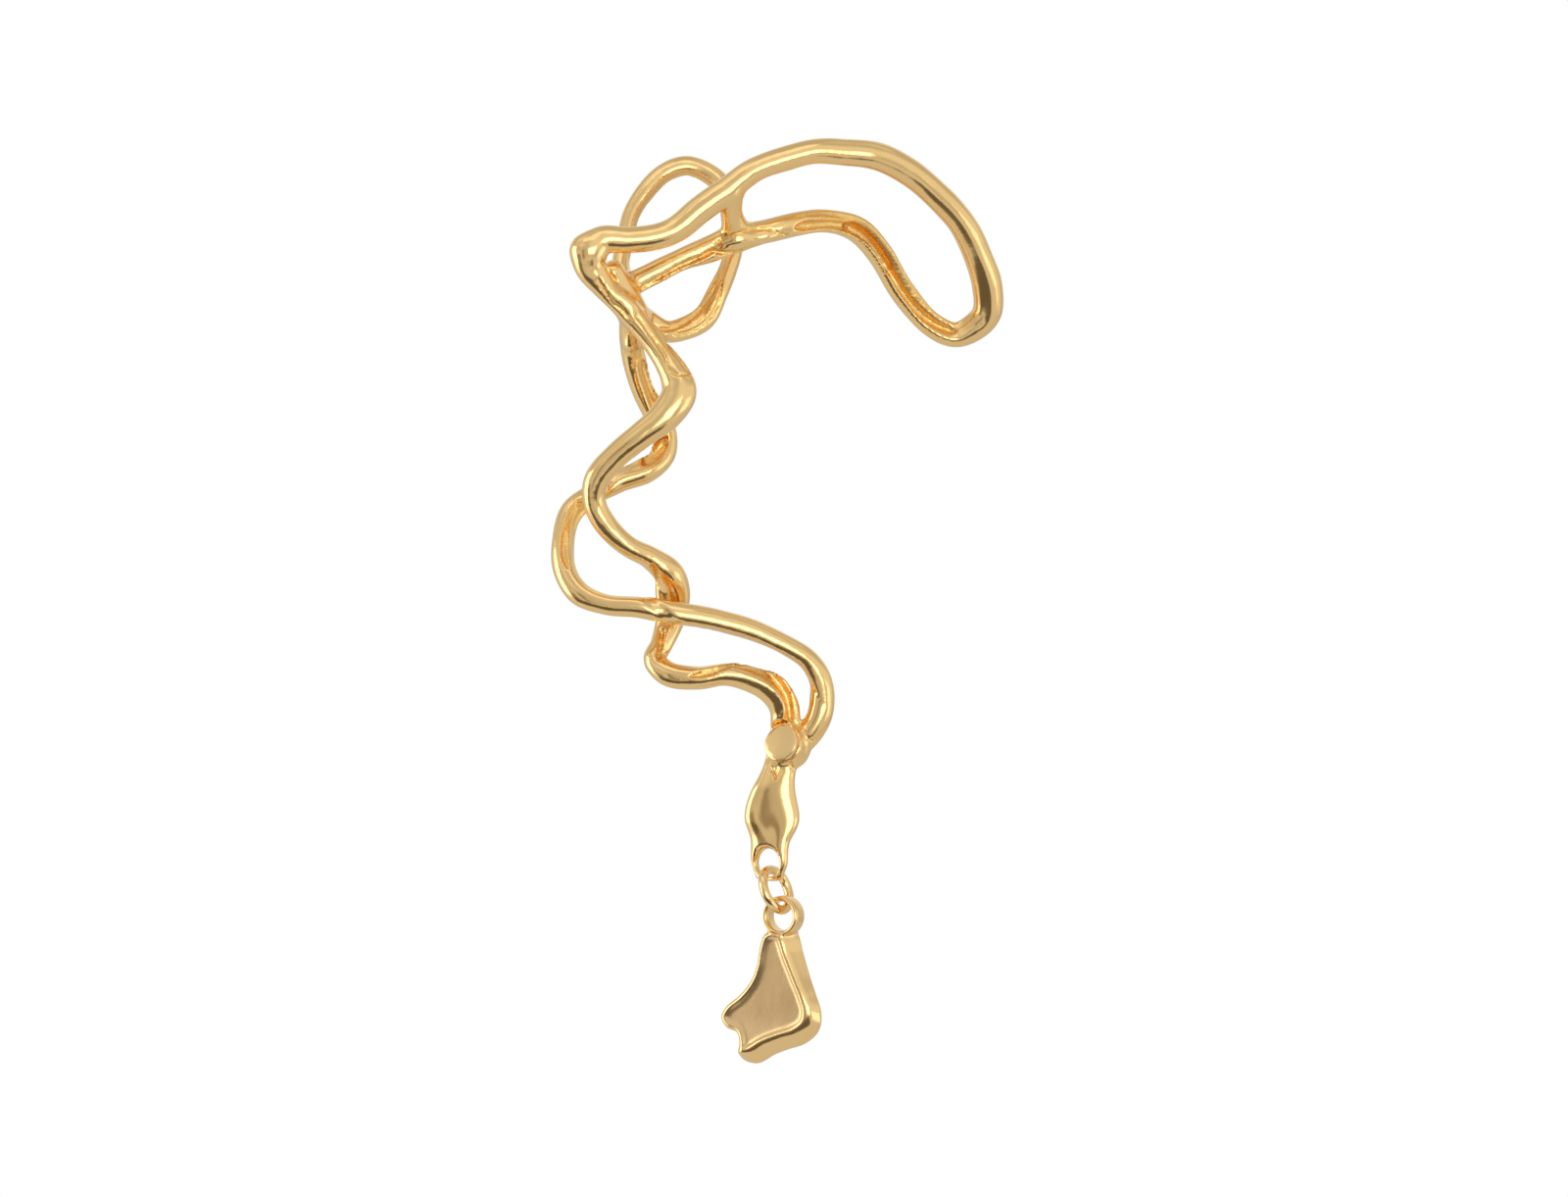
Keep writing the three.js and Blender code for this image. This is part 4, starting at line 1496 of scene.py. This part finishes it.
@dataclass
class Pendant:
    """The pendant: a thick dished plate and its bail, cast in one."""

    wide: float = 9.8
    tall: float = 12.1
    thick: float = 2.4
    dish: float = 0.26
    bowl: float = 0.55
    bowl_middle: float = 0.3
    edge: float = 0.55
    flare: float = 1.25
    yaw: float = 30.0
    bail_hole: float = 1.4
    bail_rim: float = 0.57
    bail_half: float = 0.9
    bail_corner: float = 3.0
    bail_gap: float = 0.36
    bail_sink: float = 0.5
    wire: float = WIRE_RADIUS
    bowl_foot: float = 6.0
    top: tuple[float, float] = (69.0, 100.0)
    cell: float = 0.11

    OUTLINE = (
        (62, 100, 35),
        (72, 97, 70),
        (79, 82, 65),
        (88, 64, 50),
        (96, 49, 40),
        (100, 36, 55),
        (96, 26, 90),
        (84, 19, 100),
        (66, 14.5, 100),
        (48, 9, 100),
        (32, 2, 100),
        (22, 2, 60),
        (21.5, 10, 15),
        (18, 18, 5),
        (6, 22, 10),
        (0, 30, 10),
        (6, 39, 0),
        (21, 48, 0),
        (34, 59, 0),
        (42, 72, 0),
        (46, 86, 0),
        (52, 97, 30),
    )

    def build(self, wire_centre: np.ndarray, finish: bpy.types.Material) -> bpy.types.Object:
        """Models the pendant.

        Args:
            wire_centre: The middle of the wire that it hangs on.
            finish: The material.

        Returns:
            The pendant.
        """
        evening, satin_from, satin_full = 6, 0.15, 0.9
        front = facing(self.yaw)
        across = np.cross(UP, front)
        bail = wire_centre - UP * (self.bail_hole - self.wire - self.bail_gap)
        drop = self.bail_hole + self.bail_rim - self.bail_sink
        outline, flare = self._outline(drop)
        half = self.thick / 2.0
        beside, over = 2.2, 0.8
        low = np.array([outline[:, 0].min() - beside, -half - over, outline[:, 1].min() - beside])
        high = np.array([outline[:, 0].max() + beside, half + over, self.bail_hole + self.bail_rim + over])
        block = Field(low, high, self.cell)
        window = tuple(slice(0, n) for n in block.distance.shape)
        corners = block.corners(window)
        inside, spread = self._outline_field(corners[:, 0, :, 0], corners[:, 0, :, 2], outline, flare)
        self._add_plate(block, window, inside, spread, drop)
        self._add_bail(block, window)
        satin = smoothstep(satin_from, satin_full, -inside)[:, None, :] * (-corners[..., 1] > 0.0)
        block.recess[...] = satin.astype(np.float32)
        points, faces = block.fine_skin(evening)
        recess = block.read(block.recess, points)
        placed = bail + points[:, :1] * across - points[:, 1:2] * front + points[:, 2:] * UP
        return mesh_object("drop_casting", placed, faces, finish, recess)

    def _outline(self, drop: float) -> tuple[np.ndarray, np.ndarray]:
        """Runs the plate's outline through its table.

        Args:
            drop: How far the plate's top is below the bail's middle.

        Returns:
            The outline's points and the flare at each of them.
        """
        per_span, evening = 14, 6
        table = np.array(self.OUTLINE, float)
        middle, top = self.top
        flat = np.stack([
            (table[:, 0] - middle) * PERCENT * self.wide,
            (table[:, 1] - top) * PERCENT * self.tall - drop,
        ], axis=1)
        outline, position = spline(flat, True, per_span)
        flares = np.append(table[:, 2], table[0, 2])
        return outline, softened(np.interp(position, np.arange(len(flares)), flares), evening)

    def _add_plate(self, block: Field, window: tuple[slice, slice, slice], inside: np.ndarray,
                   spread: np.ndarray, drop: float) -> None:
        """Adds the dished plate with its flared back.

        Args:
            block: The block to add it to.
            window: The whole block.
            inside: Distance to the outline, negative inside.
            spread: The flare of the outline's nearest stretch.
            drop: How far the plate's top is below the bail's middle.
        """
        flare_from, rim, floor, steep_rim, steep_floor = 0.9, 0.35, 0.95, 0.2, 0.6
        evening, fillet = 8, 0.1
        half = self.thick / 2.0
        corners = block.corners(window)
        depth = -corners[..., 1]
        back_share = smoothstep(-half, half * flare_from, -depth)
        walls = inside[:, None, :] - spread[:, None, :] * PERCENT * self.flare * back_share + self.edge
        well = softened(softened(smoothstep(rim, floor, -inside), 1).T, 1).T
        well = well * smoothstep(steep_rim, steep_floor, -inside)
        reach = self.tall * (1.0 - self.bowl_middle)
        above = corners[..., 2] + drop + reach
        hollow = 1.0 - np.where(above > 0.0, above / reach, (above / self.bowl_foot) ** 2)
        hollow = softened(hollow.transpose(2, 0, 1), evening).transpose(1, 2, 0)
        front_face = depth - half + self.dish * well[:, None, :] + self.bowl * np.clip(hollow, 0.0, 1.0)
        ends = np.maximum(front_face, -depth - half) + self.edge
        plate = np.minimum(np.maximum(ends, walls), 0.0) - self.edge
        plate += np.hypot(np.maximum(ends, 0.0), np.maximum(walls, 0.0))
        block.join(window, plate, fillet)

    def _add_bail(self, block: Field, window: tuple[slice, slice, slice]) -> None:
        """Adds the boxy bail and cuts its hole.

        Args:
            block: The block to add it to.
            window: The whole block.
        """
        fillet, hole_edge = 0.45, 0.08
        corners = block.corners(window)
        radial = np.hypot(corners[..., 0], corners[..., 2])
        half_rim, power = self.bail_rim / 2.0, self.bail_corner
        out, deep = radial - self.bail_hole - half_rim, corners[..., 1]
        share = np.abs(deep) / self.bail_half
        ratio = ((np.abs(out) / half_rim) ** power + share ** power) ** (1.0 / power) + TINY
        block.join(window, to_skin(np.hypot(out, deep), ratio), fillet)
        bulge = (1.0 - np.clip(share, 0.0, 1.0) ** power) ** (1.0 / power)
        block.cut(window, radial - self.bail_hole - half_rim * (1.0 - bulge), hole_edge)

    @staticmethod
    def _outline_field(x: np.ndarray, z: np.ndarray, outline: np.ndarray,
                       flare: np.ndarray) -> tuple[np.ndarray, np.ndarray]:
        """Measures the distance to a closed outline.

        Args:
            x: Places across.
            z: Places up.
            outline: The outline's points.
            flare: The flare at each of them.

        Returns:
            The distance, negative inside, and the flare of the nearest stretch.
        """
        rounds = 6
        best = np.full(x.shape, FAR * FAR)
        spread = np.zeros(x.shape)
        within = np.zeros(x.shape, bool)
        count = len(outline)
        for i in range(count):
            a, b = outline[i], outline[(i + 1) % count]
            edge = b - a
            share = np.clip(((x - a[0]) * edge[0] + (z - a[1]) * edge[1]) / float(edge @ edge), 0.0, 1.0)
            away = (x - a[0] - share * edge[0]) ** 2 + (z - a[1] - share * edge[1]) ** 2
            closer = away < best
            best = np.where(closer, away, best)
            spread = np.where(closer, flare[i] * (1.0 - share) + flare[(i + 1) % count] * share, spread)
            if a[1] != b[1]:
                crossing = a[0] + (z - a[1]) / (b[1] - a[1]) * edge[0]
                within ^= ((a[1] > z) != (b[1] > z)) & (x < crossing)
        for _ in range(rounds):
            beside = [np.roll(spread, step, axis) for axis in (0, 1) for step in (1, -1)]
            spread = (spread + sum(beside)) / (1 + len(beside))
        distance = np.sqrt(best)
        return np.where(within, -distance, distance), spread


@dataclass(frozen=True)
class Softbox:
    """A soft lamp or a glowing card: where it is from the cuff, how big it is and how bright it looks.

    Attributes:
        name: Its name.
        bearing: Degrees to the viewer's right of the camera.
        lift: Degrees above the cuff.
        away: Millimetres from the cuff.
        wide: Width in millimetres.
        tall: Height in millimetres.
        glow: Brightness of its face.
    """

    name: str
    bearing: float
    lift: float
    away: float
    wide: float
    tall: float
    glow: float


@dataclass
class Studio:
    """The pale floor, the white room, the soft light and the camera.

    Attributes:
        across: The photograph's middle, right of the origin.
        up: The photograph's middle, above the origin.
        frame_width: Width of the view at the cuff.
        lens: Focal length in millimetres.
        sensor: Sensor width in millimetres.
        floor: Height of the floor.
        floor_radius: Radius of the floor.
        room_glow: Brightness of the room's walls.
        room_spread: How much it changes over them.
    """

    across: float = -2.9
    up: float = -35.18
    frame_width: float = 152.1
    lens: float = 170.0
    sensor: float = 36.0
    floor: float = -200.0
    floor_radius: float = 430.0
    room_glow: float = 0.68
    room_spread: float = 0.14

    SOFTBOXES = (
        Softbox("left_softbox", -84.0, -6.0, 400.0, 215.0, 420.0, 1.7),
        Softbox("near_softbox", 16.0, 0.0, 700.0, 380.0, 300.0, 1.9),
        Softbox("right_softbox", 66.0, -18.0, 480.0, 230.0, 300.0, 0.7),
        Softbox("top_softbox", -12.0, 60.0, 420.0, 300.0, 170.0, 0.5),
    )
    CARDS = (
        Softbox("lens_card", -20.0, -44.0, 165.0, 290.0, 92.0, 0.12),
        Softbox("side_card", -27.0, -12.0, 400.0, 70.0, 300.0, 0.28),
        Softbox("left_card", -57.0, -26.0, 300.0, 125.0, 200.0, 0.3),
    )

    def build(self) -> None:
        """Sets up everything that isn't part of the cuff."""
        bpy.context.scene.view_settings.view_transform = "Standard"
        self._camera()
        self._floor()
        self._room()
        for box in self.SOFTBOXES:
            self._softbox(box)
        for card in self.CARDS:
            self._card(card)

    def _hang(self, thing: bpy.types.Object, box: Softbox) -> None:
        """Places a lamp or a card and turns it to the cuff.

        Args:
            thing: The lamp or card.
            box: Where it goes.
        """
        turn, rise = math.radians(box.bearing), math.radians(box.lift)
        level = math.cos(rise)
        way = Vector((math.sin(turn) * level, -math.cos(turn) * level, math.sin(rise)))
        middle = Vector((self.across, 0.0, self.up))
        spot = (middle + way * box.away) * MM
        thing.location = spot
        thing.rotation_euler = (middle * MM - spot).to_track_quat("-Z", "Y").to_euler()

    def _camera(self) -> None:
        """Adds the camera at the photograph's angle."""
        data = bpy.data.cameras.new("camera")
        data.lens, data.sensor_width = self.lens, self.sensor
        data.clip_end = 10.0
        camera = bpy.data.objects.new("camera", data)
        away = self.frame_width * self.lens / self.sensor
        camera.location = Vector((self.across, -away, self.up)) * MM
        camera.rotation_euler = (math.radians(90.0), 0.0, 0.0)
        bpy.context.scene.collection.objects.link(camera)
        bpy.context.scene.camera = camera

    def _floor(self) -> None:
        """Adds the round pale floor."""
        sides = 96
        angles = circle(sides)
        ring = np.stack([np.cos(angles), np.sin(angles)], axis=1) * self.floor_radius
        points = np.column_stack([ring, np.full(sides, self.floor)])
        paper = bpy.data.materials.new("white_paper")
        bench = Bench.cleared(paper)
        place = bench.add("ShaderNodeTexCoord").outputs["Object"]
        grain = bench.add("ShaderNodeTexNoise", Vector=place, Scale=900.0, Detail=2.0)
        bump = bench.add("ShaderNodeBump", Strength=0.03, Distance=0.0002, Height=grain.outputs["Fac"])
        matt = bench.add(
            "ShaderNodeBsdfPrincipled", Base_Color=(0.86, 0.86, 0.86, 1.0), Roughness=0.85,
            Normal=bump.outputs["Normal"],
        )
        bench.add("ShaderNodeOutputMaterial", Surface=matt.outputs["BSDF"])
        mesh_object("paper_floor", points, np.arange(sides)[None, :], paper)

    def _room(self) -> None:
        """Surrounds the cuff with white walls of uneven glow, which the lens sees as pure white."""
        world = bpy.data.worlds.new("studio")
        bpy.context.scene.world = world
        bench = Bench.cleared(world)
        seen = bench.add("ShaderNodeLightPath").outputs["Is Camera Ray"]
        way = bench.add("ShaderNodeTexCoord").outputs["Generated"]
        patches = bench.add("ShaderNodeTexNoise", Vector=way, Scale=1.6, Detail=1.0, Roughness=0.4)
        spread = bench.add(
            "ShaderNodeMapRange", {"interpolation_type": "SMOOTHSTEP"}, Value=patches.outputs["Fac"],
            From_Min=0.34, From_Max=0.66, To_Min=self.room_glow - self.room_spread,
            To_Max=self.room_glow + self.room_spread,
        ).outputs["Result"]
        glow = bench.add("ShaderNodeMix", Factor=seen, A=spread, B=1.0).outputs["Result"]
        walls = bench.add("ShaderNodeBackground", Color=(1.0, 1.0, 1.0, 1.0), Strength=glow)
        bench.add("ShaderNodeOutputWorld", Surface=walls.outputs["Background"])

    def _softbox(self, box: Softbox) -> None:
        """Adds a lamp whose face has the box's glow.

        Args:
            box: The lamp's place, size and glow.
        """
        data = bpy.data.lights.new(box.name, "AREA")
        data.shape = "RECTANGLE"
        data.size, data.size_y = box.wide * MM, box.tall * MM
        data.energy = box.glow * math.pi * data.size * data.size_y
        lamp = bpy.data.objects.new(box.name, data)
        lamp.visible_camera = False
        self._hang(lamp, box)
        bpy.context.scene.collection.objects.link(lamp)

    def _card(self, card: Softbox) -> None:
        """Adds a warm dim card that only the metal's reflections see.

        Args:
            card: The card's place, size and glow.
        """
        wide, tall = card.wide / 2.0, card.tall / 2.0
        points = np.array([(-wide, -tall, 0.0), (wide, -tall, 0.0), (wide, tall, 0.0), (-wide, tall, 0.0)])
        dim = bpy.data.materials.new(card.name)
        bench = Bench.cleared(dim)
        even = bench.add("ShaderNodeEmission", Color=(1.0, 0.88, 0.74, 1.0), Strength=card.glow)
        bench.add("ShaderNodeOutputMaterial", Surface=even.outputs["Emission"])
        made = mesh_object(card.name, points, np.array([[0, 1, 2, 3]]), dim)
        made.visible_camera = made.visible_diffuse = made.visible_shadow = False
        self._hang(made, card)


@dataclass
class EarCuff:
    """The whole ear cuff, each piece on its own body."""

    frame: dict[str, Any]
    effects: SharedEffects = field(default_factory=SharedEffects)

    def build(self) -> None:
        """Builds the pieces in order and ties each to its body and node."""
        place = StudPlace.from_record(self.frame["record"])
        joints = {joint["name"]: joint for joint in self.frame["joints"]}
        rim = np.array(joints["ring_swing"]["pos_m"]) / MM
        wire = np.array(joints["drop_swing"]["pos_m"]) / MM
        wire_way = np.array(joints["drop_swing"]["axis"])
        casting = POLISHED_CASTING.material(self.effects)
        bright = BRIGHT_WIRE.material(self.effects)
        satin = SATIN_FACE.material(self.effects)
        self._tie([CastFrame().build(place, casting)], "cuff_frame", Body.CUFF, Slot.POLISHED)
        self._tie(LobeStud().build(place, bright), "lobe_stud", Body.CUFF, Slot.BRIGHT)
        self._tie([JumpRing().build(rim, wire, wire_way, bright)], "jump_ring", Body.RING, Slot.BRIGHT)
        self._tie([Pendant().build(wire, satin)], "pendant", Body.DROP, Slot.SATIN)

    @staticmethod
    def _tie(pieces: list[bpy.types.Object], node: str, body: Body, slot: Slot) -> None:
        """Makes pieces stand for a node and ride on its body.

        Args:
            pieces: The pieces.
            node: The node that they stand for.
            body: The body that they ride on.
            slot: The record's material slot; not used.
        """
        for piece in pieces:
            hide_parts(node)
            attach(piece, body.value)
            triangles = sum(len(face.vertices) - 2 for face in piece.data.polygons)
            LOG.info("%s stands for %s on %s, %d triangles", piece.name, node, body.value, triangles)


def main() -> None:
    """Builds the studio and the cuff."""
    logging.basicConfig(level=logging.INFO, format="%(name)s: %(message)s")
    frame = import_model()
    Studio().build()
    EarCuff(frame).build()


if __name__ == "__main__":
    main()
